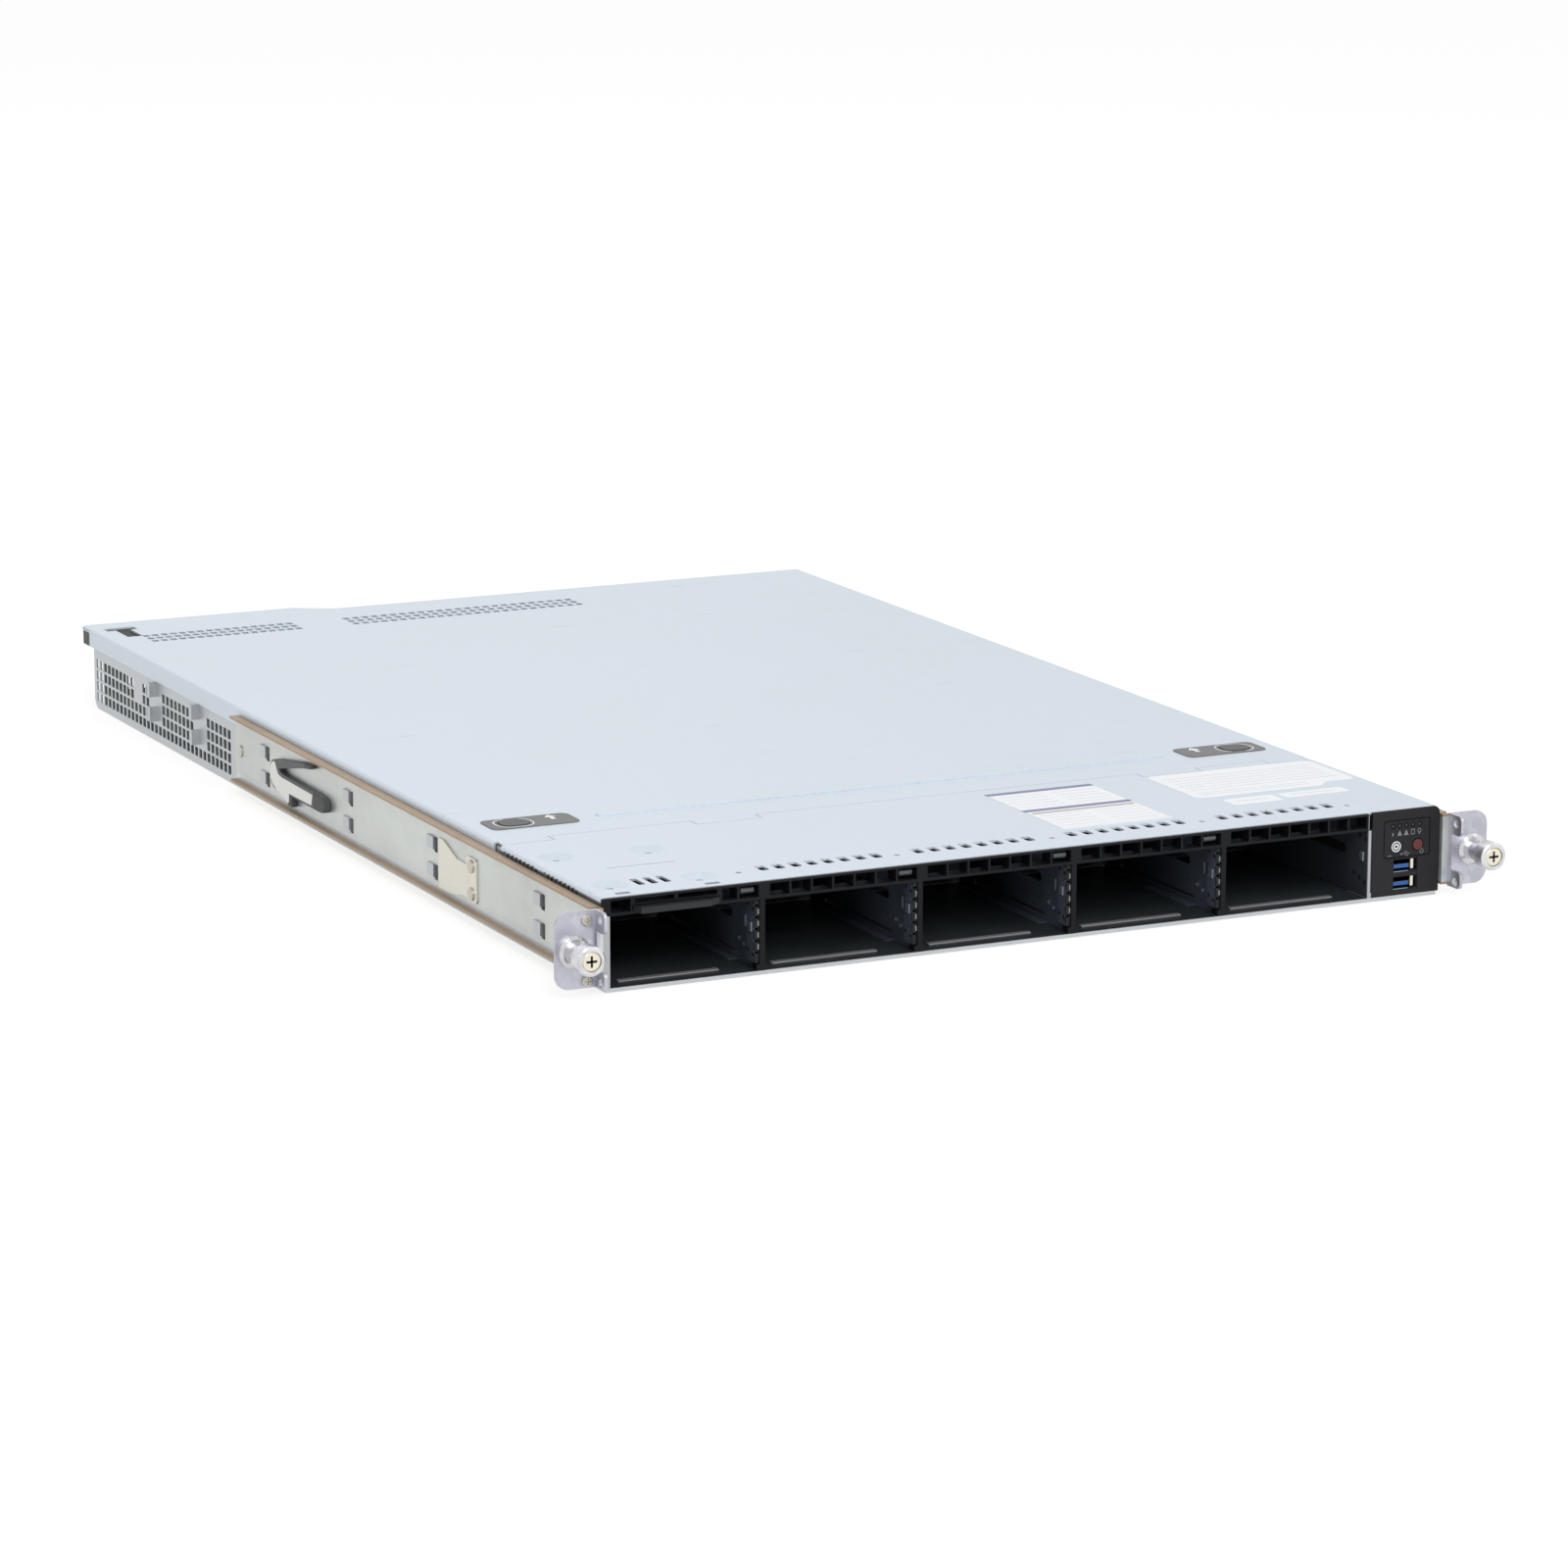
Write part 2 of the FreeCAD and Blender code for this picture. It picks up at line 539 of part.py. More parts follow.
# ---------------------------------------------------------------------------
# Ears, captive screws and rails
# ---------------------------------------------------------------------------
def ear():
    """Right ear: plate against the rack, side plate with two forward lobes."""
    plate = block(EAR_BEND - EAR_T, EAR_SPAN / 2, EAR_FRONT, EAR_FRONT + EAR_T, EAR_LOW, EAR_HIGH)
    corners = [
        e for e in plate.Edges
        if e.BoundBox.YLength > 1 and e.BoundBox.XMin > EAR_SPAN / 2 - 0.1
    ]
    plate = plate.makeFillet(6.5, corners)
    side = block(EAR_BEND - EAR_T, EAR_BEND, LOBE_FRONT, EAR_FRONT + EAR_T, EAR_LOW, EAR_HIGH)
    notch = block(0, 300, LOBE_FRONT - 1, EAR_FRONT - 2.0, NOTCH_LOW, NOTCH_HIGH)
    side = side.cut(notch)
    tips = [
        e for e in side.Edges
        if e.BoundBox.XLength > 1 and e.BoundBox.YMax < LOBE_FRONT + 0.1
    ]
    side = side.makeFillet(2.5, tips)
    holes = [rod(BEZEL_HOLE_R, V(EAR_BEND - 3, BEZEL_HOLE_Y, z), X_AXIS, 6) for z in BEZEL_HOLE_ZS]
    holes.append(rod(NECK_R, V(SCREW_SPAN / 2, EAR_FRONT - 1, SCREW_Z), Y_AXIS, 4))
    for z in EAR_SCREW_ZS:
        holes.append(rod(1.5, V(EAR_SCREW_X, EAR_FRONT - 1, z), Y_AXIS, 4))
    return join(plate, side).cut(holes)


def ear_screw(z):
    """Low cross-recessed head on the ear, and the shank through ear and rail tab."""
    x, front = EAR_SCREW_X, EAR_FRONT - 1.4
    dome = Part.makeCone(2.0, 2.5, 0.6, V(x, front, z), Y_AXIS)
    rim = rod(2.5, V(x, front + 0.6, z), Y_AXIS, 0.8)
    shank = rod(1.45, V(x, EAR_FRONT, z), Y_AXIS, EAR_T + RAIL_WEB)
    cross = [
        block(x - 1.5, x + 1.5, front - 1, front + 0.7, z - 0.35, z + 0.35),
        block(x - 0.35, x + 0.35, front - 1, front + 0.7, z - 1.5, z + 1.5),
    ]
    return join(dome, rim, shank).cut(cross)


def turned(points, x, bore=0.0):
    """A turned piece about the captive screw's axis, from (radius, y) points."""
    outline = [V(x + r, y, SCREW_Z) for r, y in points]
    face = Part.Face(Part.makePolygon(outline + [outline[0]]))
    return face.revolve(V(x, 0, SCREW_Z), Y_AXIS, 360)


def ferrule():
    """Flanged ring and neck, swaged through the ear."""
    ring_front = EAR_FRONT - FERRULE_T
    return turned([
        (NECK_BORE, NECK_FRONT), (NECK_R - 0.4, NECK_FRONT), (NECK_R, NECK_FRONT + 0.4),
        (NECK_R, ring_front), (FERRULE_R - 1.4, ring_front), (FERRULE_R, ring_front + 1.4),
        (FERRULE_R, EAR_FRONT), (NECK_R, EAR_FRONT), (NECK_R, EAR_FRONT + EAR_T),
        (NECK_BORE, EAR_FRONT + EAR_T),
    ], SCREW_SPAN / 2)


def thumb_knob():
    bore = NECK_R + GAP
    seat = KNOB_FRONT + KNOB_WALL
    return turned([
        (4.6, KNOB_FRONT), (KNOB_R - 0.8, KNOB_FRONT), (KNOB_R, KNOB_FRONT + 0.8),
        (KNOB_R, KNOB_REAR), (bore, KNOB_REAR), (bore, seat), (THREAD_R, seat),
        (THREAD_R, seat - 1.2), (4.6, seat - 1.2),
    ], SCREW_SPAN / 2)


def captive_screw():
    """Cross-recessed screw pressed into the knob; its thread reaches behind the ear."""
    head_front = KNOB_FRONT + 0.3
    seat = KNOB_FRONT + KNOB_WALL - 1.2
    body = turned([
        (0, head_front), (4.0, head_front), (4.5, head_front + 0.4), (4.5, seat),
        (THREAD_R, seat), (THREAD_R, 0.9), (1.7, 1.7), (0, 1.7),
    ], SCREW_SPAN / 2)
    x = SCREW_SPAN / 2
    cross = [
        block(x - 2.6, x + 2.6, head_front - 1, head_front + 1.1, SCREW_Z - 0.55, SCREW_Z + 0.55),
        block(x - 0.55, x + 0.55, head_front - 1, head_front + 1.1, SCREW_Z - 2.6, SCREW_Z + 2.6),
    ]
    return body.cut(cross)


def screw_washer():
    """Nylon washer that rides in the ferrule's bore with the screw."""
    return tube(NECK_BORE - 0.06, THREAD_R + 0.05, V(SCREW_SPAN / 2, -12.6, SCREW_Z), Y_AXIS, 1.2)


def rail():
    """Right inner slide member: web against the chassis, flanges outwards, folded front tab."""
    web = block(RAIL_IN, RAIL_IN + RAIL_WEB, RAIL_FRONT, RAIL_REAR, RAIL_LOW, RAIL_HIGH)
    top = block(RAIL_IN, RAIL_OUT, 2, RAIL_REAR, RAIL_HIGH - RAIL_WEB, RAIL_HIGH)
    bottom = block(RAIL_IN, RAIL_OUT, 2, RAIL_REAR, RAIL_LOW, RAIL_LOW + RAIL_WEB)
    tab_y = EAR_FRONT + EAR_T
    tabs = [
        block(RAIL_IN, 230.0, tab_y, tab_y + RAIL_WEB, 5.0, 12.5),
        block(RAIL_IN, 230.0, tab_y, tab_y + RAIL_WEB, 30.5, 39.2),
        block(RAIL_IN, EAR_BEND, tab_y, tab_y + RAIL_WEB, 5.0, 39.2),
    ]
    cuts = []
    for y in HOOK_YS:
        for z in HOOK_ZS:
            low, high = z - HOOK_W / 2 - 1.4, z + HOOK_W / 2
            cuts.append(block(RAIL_IN - 1, RAIL_IN + 3, y - 3, y + HOOK_T, low, high))
    for z in EAR_SCREW_ZS:
        cuts.append(rod(1.5, V(EAR_SCREW_X, tab_y - 1, z), Y_AXIS, 4))
    for y, z in rivet_places():
        cuts.append(rod(1.5, V(RAIL_IN - 1, y, z), X_AXIS, 4))
    return join(web, top, bottom, *tabs).cut(cuts)


def rivet_places():
    """One rivet near the rail's rear end, two on the leaf catch, one lever pivot."""
    return ((452.5, 21.6), (144.4, 27.0), (144.4, 13.8), (LEVER_PIVOT_Y, LEVER_PIVOT_Z))


def rail_hook(y, z, width, length):
    """Hook of the chassis wall: a foot standing out of it and a plate to the rear."""
    top = WALL_OUT + HOOK_STAND
    foot = block(WALL_OUT, top, y, y + HOOK_T, z - width / 2, z + width / 2)
    plate = block(top, top + HOOK_T, y, y + length, z - width / 2, z + width / 2)
    return join(foot, plate)


LEVER_PIVOT_Y, LEVER_PIVOT_Z = 394.5, 21.6
LEVER_X0, LEVER_X1 = RAIL_IN + RAIL_WEB + GAP, 221.9


def rail_lever():
    """Release lever: round head on its pivot, a slender upper arm and a heavier lower arm."""
    head = rod(7.4, V(LEVER_X0, LEVER_PIVOT_Y, LEVER_PIVOT_Z), X_AXIS, LEVER_X1 - LEVER_X0)
    push = V(LEVER_X1 - LEVER_X0, 0, 0)
    upper = prism([
        V(LEVER_X0, 395.5, 29.0), V(LEVER_X0, 358.0, 34.4), V(LEVER_X0, 344.0, 35.3),
        V(LEVER_X0, 343.0, 34.6), V(LEVER_X0, 344.6, 33.6), V(LEVER_X0, 354.0, 32.4),
        V(LEVER_X0, 388.0, 25.6),
    ], push)
    lower = prism([
        V(LEVER_X0, 390.5, 25.0), V(LEVER_X0, 384.0, 23.4), V(LEVER_X0, 330.0, 22.4),
        V(LEVER_X0, 326.5, 21.6), V(LEVER_X0, 325.0, 19.6), V(LEVER_X0, 325.2, 16.8),
        V(LEVER_X0, 327.4, 15.0), V(LEVER_X0, 331.0, 14.4), V(LEVER_X0, 371.0, 14.4),
        V(LEVER_X0, 371.0, 9.0), V(LEVER_X0, 375.5, 9.0), V(LEVER_X0, 400.5, 17.2),
    ], push)
    hole = rod(1.55, V(LEVER_X0 - 1, LEVER_PIVOT_Y, LEVER_PIVOT_Z), X_AXIS, 6)
    return join(head, upper, lower).cut(hole)


def leaf_catch():
    """Spring plate riveted to the web; its wide end lies beside a pair of hooks."""
    x0 = RAIL_IN + RAIL_WEB
    strip = rounded(block(x0, x0 + 0.8, 138.0, 150.6, 10.0, 31.2), 2.5, X_AXIS)
    wing = prism([
        V(x0, 146.0, 26.6), V(x0, 162.0, 27.0), V(x0, 178.0, 32.5), V(x0, 184.0, 32.5),
        V(x0, 184.0, 8.6), V(x0, 168.0, 8.8), V(x0, 157.0, 10.8), V(x0, 146.0, 11.2),
    ], V(0.8, 0, 0))
    holes = [rod(1.5, V(x0 - 1, y, z), X_AXIS, 4) for y, z in rivet_places()[1:3]]
    return join(strip, wing).cut(holes)


def rail_rivets():
    """Heads stand on the web, on the leaf catch and on the lever's free face."""
    web_face = RAIL_IN + RAIL_WEB
    heads = (web_face, web_face + 0.8, web_face + 0.8, LEVER_X1 - 0.4)
    rivets = []
    for (y, z), seat in zip(rivet_places(), heads):
        shank = rod(1.5, V(RAIL_IN, y, z), X_AXIS, seat - RAIL_IN)
        if seat < LEVER_X1 - 1:
            shank = join(shank, rod(3.2, V(seat, y, z), X_AXIS, 0.7))
        rivets.append(shank)
    return rivets


# ---------------------------------------------------------------------------
# Backplane, fans, motherboard
# ---------------------------------------------------------------------------
def backplane():
    board = block(-WALL_IN + 2, CAGE_RIGHT - 2, CAGE_REAR + 7, CAGE_REAR + 9, SHEET, 40)
    windows = []
    for left, right in bay_edges():
        windows.append(block(left + 10, right - 10, 100, 130, 14.5, 23.5))
    return board.cut(windows)


def drive_sockets():
    sockets = []
    for left, right in bay_edges():
        middle = (left + right) / 2
        for z in (9.6, 28.4):
            body = block(middle - 22, middle + 22, CAGE_REAR + 1, CAGE_REAR + 7, z - 3, z + 3)
            groove = block(middle - 19, middle + 19, CAGE_REAR, CAGE_REAR + 5, z - 0.8, z + 0.8)
            sockets.append(body.cut(groove))
    return sockets


def fan_xs():
    first = -FAN_PITCH * (FAN_COUNT - 1) / 2
    return [first + FAN_PITCH * i for i in range(FAN_COUNT)]


def fan_wall():
    """Cross wall with a round window for each fan, and a foot that the fans stand on."""
    front = FAN_Y - SHEET
    wall = block(-WALL_IN, WALL_IN, front, FAN_Y, SHEET, MAIN_WALL_TOP)
    foot = block(-WALL_IN, WALL_IN, FAN_Y, FAN_Y + FAN_DEPTH, SHEET, SHEET + 0.3)
    windows = [rod(FAN_BORE, V(x, front - 1, fan_z()), Y_AXIS, 4) for x in fan_xs()]
    return join(wall, foot).cut(windows)


def fan_z():
    return SHEET + 0.3 + FAN_SIZE / 2


def fan_frame(x):
    z = fan_z()
    body = block(x - FAN_SIZE / 2, x + FAN_SIZE / 2, FAN_Y, FAN_Y + FAN_DEPTH,
                 z - FAN_SIZE / 2, z + FAN_SIZE / 2)
    body = body.cut(rod(FAN_BORE, V(x, FAN_Y - 1, z), Y_AXIS, FAN_DEPTH + 2))
    back = FAN_Y + FAN_DEPTH - 3
    strut = block(x - FAN_BORE - 0.5, x + FAN_BORE + 0.5, back, back + 3, z - 1.5, z + 1.5)
    hub = rod(FAN_HUB, V(x, back, z), Y_AXIS, 3)
    pin = rod(1.5, V(x, FAN_Y + 6, z), Y_AXIS, FAN_DEPTH - 6)
    return join(body, strut, hub, pin)


def rotor(x, z, front, length, hub_r, tip_r, pin_r):
    """Fan rotor: a hub with a blind bore for the pin, and set blades round it."""
    hub = rod(hub_r, V(x, front, z), Y_AXIS, length)
    hub = hub.cut(rod(pin_r, V(x, front + 2, z), Y_AXIS, length))
    blades = []
    for i in range(BLADES):
        blade = block(x - 0.6, x + 0.6, front + 1, front + length - 1, z + hub_r - 1, z + tip_r)
        middle = V(x, front + length / 2, z)
        blade.rotate(middle, Z_AXIS, 35)
        blade.rotate(middle, Y_AXIS, 360.0 / BLADES * i)
        blades.append(blade)
    return join(hub, *blades)


def heatsink(x):
    """Finned block cut from one comb outline."""
    fins, pitch, fin = 14, 5.8, 2.2
    width = pitch * (fins - 1) + fin
    left = x - width / 2
    base_top, fin_top = BOARD_Z + BOARD_T + 7.0, 38.6
    outline = [V(left, 300, BOARD_Z + BOARD_T + 3), V(left, 300, fin_top)]
    for i in range(fins):
        start = left + i * pitch
        outline.append(V(start + fin, 300, fin_top))
        if i < fins - 1:
            outline.append(V(start + fin, 300, base_top))
            outline.append(V(start + pitch, 300, base_top))
            outline.append(V(start + pitch, 300, fin_top))
    outline.append(V(left + width, 300, BOARD_Z + BOARD_T + 3))
    fins_block = prism(outline, V(0, 100, 0))
    socket = block(x - 30, x + 30, 312, 388, BOARD_Z + BOARD_T, BOARD_Z + BOARD_T + 3)
    return join(fins_block, socket)


def memory_modules():
    """Upright modules either side of each heatsink."""
    modules = []
    for middle in (-178.0, -30.0, 30.0, 178.0):
        for i in range(4):
            x = middle + (i - 1.5) * 10.0
            modules.append(block(x - 1.6, x + 1.6, 284, 417, BOARD_Z + BOARD_T, 38.4))
    return modules


def motherboard():
    wide = block(-211, 211, 222, 470, BOARD_Z, BOARD_Z + BOARD_T)
    rear = block(-211, 56, 470, 672, BOARD_Z, BOARD_Z + BOARD_T)
    return join(wide, rear)


def air_shroud():
    """Folded guide that leads the air from the fans over heatsinks and memory."""
    roof = block(-209, 209, 226, 430, 39.4, 40.4)
    sides = [block(x, x + 1.2, 226, 430, BOARD_Z + BOARD_T, 39.4) for x in (-209.0, -1.2, 207.8)]
    return join(roof, *sides)


# ---------------------------------------------------------------------------
# Rear panel, ports and power supplies
# ---------------------------------------------------------------------------
RJ45_XS = (-46.0, -26.0, 22.0)
USB_REAR_X = 2.0
VGA_X = 42.0
SLOT_LEFTS = (-208.0, -134.0)


def rear_panel():
    sheet = block(-WALL_IN, 62.0, PANEL_REAR - SHEET, PANEL_REAR, SHEET, MAIN_WALL_TOP)
    cuts = []
    low_edge = BOARD_Z + BOARD_T - 0.2
    for x in RJ45_XS:
        cuts.append(block(x - 8.2, x + 8.2, 600, 700, low_edge, 21.4))
    cuts.append(block(USB_REAR_X - 7.0, USB_REAR_X + 7.0, 600, 700, low_edge, 23.4))
    cuts.append(block(VGA_X - 8.6, VGA_X + 8.6, 600, 700, low_edge, 17.6))
    for left in SLOT_LEFTS:
        cuts.append(block(left + 3, left + 67, 600, 700, 9, 27))
    for i in range(12):
        x = -50 + 8.5 * i
        cuts.append(block(x, x + 5, 600, 700, 27, 38))
    return sheet.cut(cuts)


def slot_cover(left):
    plate = block(left, left + 70, PANEL_REAR, PANEL_REAR + 1, 6, 30)
    slots = [block(left + 6 + 9 * i, left + 12 + 9 * i, 600, 700, 11, 25) for i in range(7)]
    return plate.cut(slots)


def rear_ports():
    """Shells of the rear sockets: three network, one double USB, one display."""
    low = BOARD_Z + BOARD_T
    ports = []
    for x in RJ45_XS:
        shell = block(x - 8, x + 8, 657, PANEL_REAR + 0.5, low, 21.2)
        mouth = block(x - 5.9, x + 5.9, 664, 700, 10.4, 18.8)
        ports.append(shell.cut(mouth))
    usb = block(USB_REAR_X - 6.8, USB_REAR_X + 6.8, 661, PANEL_REAR + 0.5, low, 23.2)
    for z in (11.4, 19.4):
        usb = usb.cut(block(USB_REAR_X - 6.2, USB_REAR_X + 6.2, 666, 700, z - 2.6, z + 2.6))
        ports.append(block(USB_REAR_X - 5, USB_REAR_X + 5, 666, 677, z - 0.9, z + 0.9))
    ports.append(usb)
    vga = block(VGA_X - 8.4, VGA_X + 8.4, 662, PANEL_REAR + 5, low, 17.4)
    vga = rounded(vga, 2.5, Y_AXIS)
    ports.append(vga.cut(rounded(block(VGA_X - 7.6, VGA_X + 7.6, 672, 700, low + 1.8, 16.6), 2.0, Y_AXIS)))
    return ports


def psu_bay():
    """Two upright guides that the power supplies slide between, on a common base."""
    guides = [
        block(60.6, 61.8, 486, PANEL_REAR - SHEET, SHEET, MAIN_WALL_TOP),
        block(137.0, 138.0, 486, PANEL_REAR, SHEET, MAIN_WALL_TOP),
    ]
    stop = block(60.6, WALL_IN, 485, 486, SHEET, 30)
    return join(stop, *guides)


def psu_case(left):
    """Shell with the inlet recess, the fan duct and a strap handle at its rear."""
    right = left + PSU_W
    low, high = PSU_Z, PSU_Z + PSU_H
    case = block(left, right, PSU_FRONT, PSU_REAR, low, high)
    rear_block = PSU_REAR - 34
    hollow = block(left + PSU_WALL, right - PSU_WALL, PSU_FRONT + PSU_WALL, rear_block,
                   low + PSU_WALL, high - PSU_WALL)
    fan_x, fan_z_ = psu_fan_centre(left)
    duct = rod(PSU_FAN_R + 1, V(fan_x, PSU_REAR - 24, fan_z_), Y_AXIS, 30)
    inlet_x = left + 56
    inlet = block(inlet_x - INLET_W / 2, inlet_x + INLET_W / 2, PSU_REAR - INLET_DEPTH, PSU_REAR + 1,
                  low + 11, low + 11 + INLET_H)
    latch_room = block(right - 5.0, right + 1, PSU_REAR - 26, PSU_REAR + 1, low + 31, high - 2)
    case = case.cut([hollow, duct, inlet, latch_room])
    pins = []
    for dx, dz in ((-7, 10.5), (0, 6.0 + 4.5), (7, 10.5)):
        pins.append(block(inlet_x + dx - 1, inlet_x + dx + 1, PSU_REAR - INLET_DEPTH - 1, PSU_REAR - 6,
                          low + 11 + dz - 2, low + 11 + dz + 2))
    spindle = rod(1.5, V(fan_x, PSU_REAR - 26, fan_z_), Y_AXIS, 18)
    handle = block(left + 38.4, left + 42.4, PSU_REAR, PSU_REAR + HANDLE_REACH, low + 4, high - 8)
    grip = block(left + 38, left + 43, PSU_REAR - 1, PSU_REAR + HANDLE_REACH - 3, low + 7.5, high - 11.5)
    return join(case, handle.cut(grip), spindle, *pins)


def psu_fan_centre(left):
    return left + 19.5, PSU_Z + PSU_H / 2


def psu_rotor(left):
    x, z = psu_fan_centre(left)
    return rotor(x, z, PSU_REAR - 18, 13, 6.5, PSU_FAN_R, 1.55).mirror(V(0, PSU_REAR - 11.5, 0), Y_AXIS)


def psu_latch(left):
    """Side latch with a thumb tab; it swings about an upright pivot in its pocket."""
    right = left + PSU_W
    low = PSU_Z + 31 + GAP
    high = PSU_Z + PSU_H - 2 - GAP
    arm = block(right - 1.4, right - 0.2, PSU_REAR - 25, PSU_REAR + 4, low, high)
    tab = block(right - 7.0, right - 0.2, PSU_REAR + 4, PSU_REAR + 6, low - 2, high)
    return join(arm, tab)


def main():
    os.makedirs("parts", exist_ok=True)
    save("chassis_tray", chassis_tray())
    save("rear_panel", rear_panel())
    save("front_cover", front_cover())
    save("top_cover", top_cover())
    save("latch_frames", group([latch_frame(), mirrored(latch_frame())]))
    on_both_sides("latch_button", latch_button())

    save("drive_cage", drive_cage())
    for i, x in enumerate(DIVIDER_XS):
        save("bay_divider_%d" % (i + 1), bay_divider(x))
    save("divider_clips", group([divider_clip(x) for x in DIVIDER_XS]))
    save("bezel_frame", bezel_frame())
    save("info_tag", info_tag())

    save("control_panel", control_panel())
    save("locate_button", panel_button(LOCATE_X))
    save("power_button", panel_button(POWER_X))
    save("light_pipes", light_pipes())
    save("usb_ports", group(usb_port(USB_ZS[0]) + usb_port(USB_ZS[1])))
    save("panel_board", panel_board())

    on_both_sides("ear", ear())
    screws = [ear_screw(z) for z in EAR_SCREW_ZS]
    save("ear_screws", group(screws + [mirrored(s) for s in screws]))
    save("ferrules", group([ferrule(), mirrored(ferrule())]))
    on_both_sides("thumb_knob", thumb_knob())
    on_both_sides("captive_screw", captive_screw())
    on_both_sides("screw_washer", screw_washer())

    on_both_sides("rail", rail())
    hooks = [rail_hook(y, z, HOOK_W, HOOK_LEN) for y in HOOK_YS for z in HOOK_ZS]
    hooks += [rail_hook(y, z, REAR_HOOK_W, REAR_HOOK_LEN) for y in REAR_HOOK_YS for z in HOOK_ZS]
    save("rail_hooks", group(hooks + [mirrored(h) for h in hooks]))
    on_both_sides("rail_lever", rail_lever())
    save("leaf_catches", group([leaf_catch(), mirrored(leaf_catch())]))
    rivets = rail_rivets()
    save("rail_rivets", group(rivets + [mirrored(r) for r in rivets]))

    save("backplane", backplane())
    save("drive_sockets", group(drive_sockets()))
    save("fan_wall", fan_wall())
    save("fan_frames", group([fan_frame(x) for x in fan_xs()]))
    for i, x in enumerate(fan_xs()):
        blades = rotor(x, fan_z(), FAN_Y + 3, FAN_DEPTH - 7, FAN_HUB - 0.5, FAN_BORE - 1.5, 1.55)
        save("fan_rotor_%d" % (i + 1), blades)
    save("motherboard", motherboard())
    save("heatsinks", group([heatsink(-104.0), heatsink(104.0)]))
    save("memory_modules", group(memory_modules()))
    save("air_shroud", air_shroud())

    save("slot_covers", group([slot_cover(left) for left in SLOT_LEFTS]))
    save("rear_ports", group(rear_ports()))
    save("psu_bay", psu_bay())
    for i, left in enumerate(PSU_XS):
        save("psu_case_%d" % (i + 1), psu_case(left))
        save("psu_rotor_%d" % (i + 1), psu_rotor(left))
        save("psu_latch_%d" % (i + 1), psu_latch(left))


main()
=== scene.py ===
"""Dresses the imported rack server: a finish for every node, print, icons and fine hardware."""
from __future__ import annotations

import logging
import math
from dataclasses import dataclass
from enum import Enum
from functools import cache
from typing import Any, Callable, Iterable, Sequence

import bmesh
import bpy
from mathutils import Matrix, Vector


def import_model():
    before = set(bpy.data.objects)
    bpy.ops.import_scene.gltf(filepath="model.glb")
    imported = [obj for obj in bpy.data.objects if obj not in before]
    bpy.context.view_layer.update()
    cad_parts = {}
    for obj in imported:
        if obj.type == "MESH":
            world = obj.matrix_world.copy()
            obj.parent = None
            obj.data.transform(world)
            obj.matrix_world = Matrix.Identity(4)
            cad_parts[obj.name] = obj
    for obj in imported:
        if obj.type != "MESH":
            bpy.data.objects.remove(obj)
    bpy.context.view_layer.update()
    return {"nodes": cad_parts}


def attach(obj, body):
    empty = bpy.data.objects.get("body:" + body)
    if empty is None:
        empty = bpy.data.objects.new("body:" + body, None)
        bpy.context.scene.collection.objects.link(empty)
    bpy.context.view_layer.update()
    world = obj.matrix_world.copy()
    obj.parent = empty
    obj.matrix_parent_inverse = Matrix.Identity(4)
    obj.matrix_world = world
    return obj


LOG = logging.getLogger("rack_server")
MM = 0.001
BEZEL_Y = -341.0        # where the bezel's face stands, in millimetres along Y
FINE_RELIEF = 0.00001   # depth of rolled or turned grain, in metres
COARSE_RELIEF = 0.00002
PLAIN_WHITE = (1.0, 1.0, 1.0)
Colour = tuple[float, float, float]
Point = tuple[float, float, float]
Flat = tuple[float, float]
Rect = tuple[float, float, float, float]
Outline = tuple[Flat, ...]


# Shader maths
def operator(kind: str, swapped: bool = False) -> Callable[[Socket, Any], Socket]:
    """An operator of Socket that adds one Math node.

    Args:
        kind: the node's operation.
        swapped: whether the socket is the second input.

    Returns:
        The method.
    """
    def method(self: Socket, other: Any) -> Socket:
        """The node's result."""
        inputs = {0: other, 1: self} if swapped else {0: self, 1: other}
        return self.nodes.node("ShaderNodeMath", {"operation": kind}, inputs)
    return method


class Socket:
    """A node's output, with operators that add Math nodes to the same tree."""

    __add__ = __radd__ = operator("ADD")
    __mul__ = __rmul__ = operator("MULTIPLY")
    __sub__ = operator("SUBTRACT")
    __rsub__ = operator("SUBTRACT", swapped=True)
    __truediv__ = operator("DIVIDE")
    __gt__ = operator("GREATER_THAN")
    __lt__ = operator("LESS_THAN")

    def __init__(self, nodes: Nodes, link: bpy.types.NodeSocket) -> None:
        """Keeps the tree and the output."""
        self.nodes = nodes
        self.link = link

    @property
    def swing(self) -> Socket:
        """How far a noise value is from its middle."""
        return self - 0.5

    def ramp(self, low: float, high: float, to_low: float = 0.0, to_high: float = 1.0) -> Socket:
        """Maps low to to_low and high to to_high, smooth between them and clamped."""
        return self.nodes.node("ShaderNodeMapRange", {"interpolation_type": "SMOOTHSTEP"},
                               {0: self, 1: low, 2: high, 3: to_low, 4: to_high})


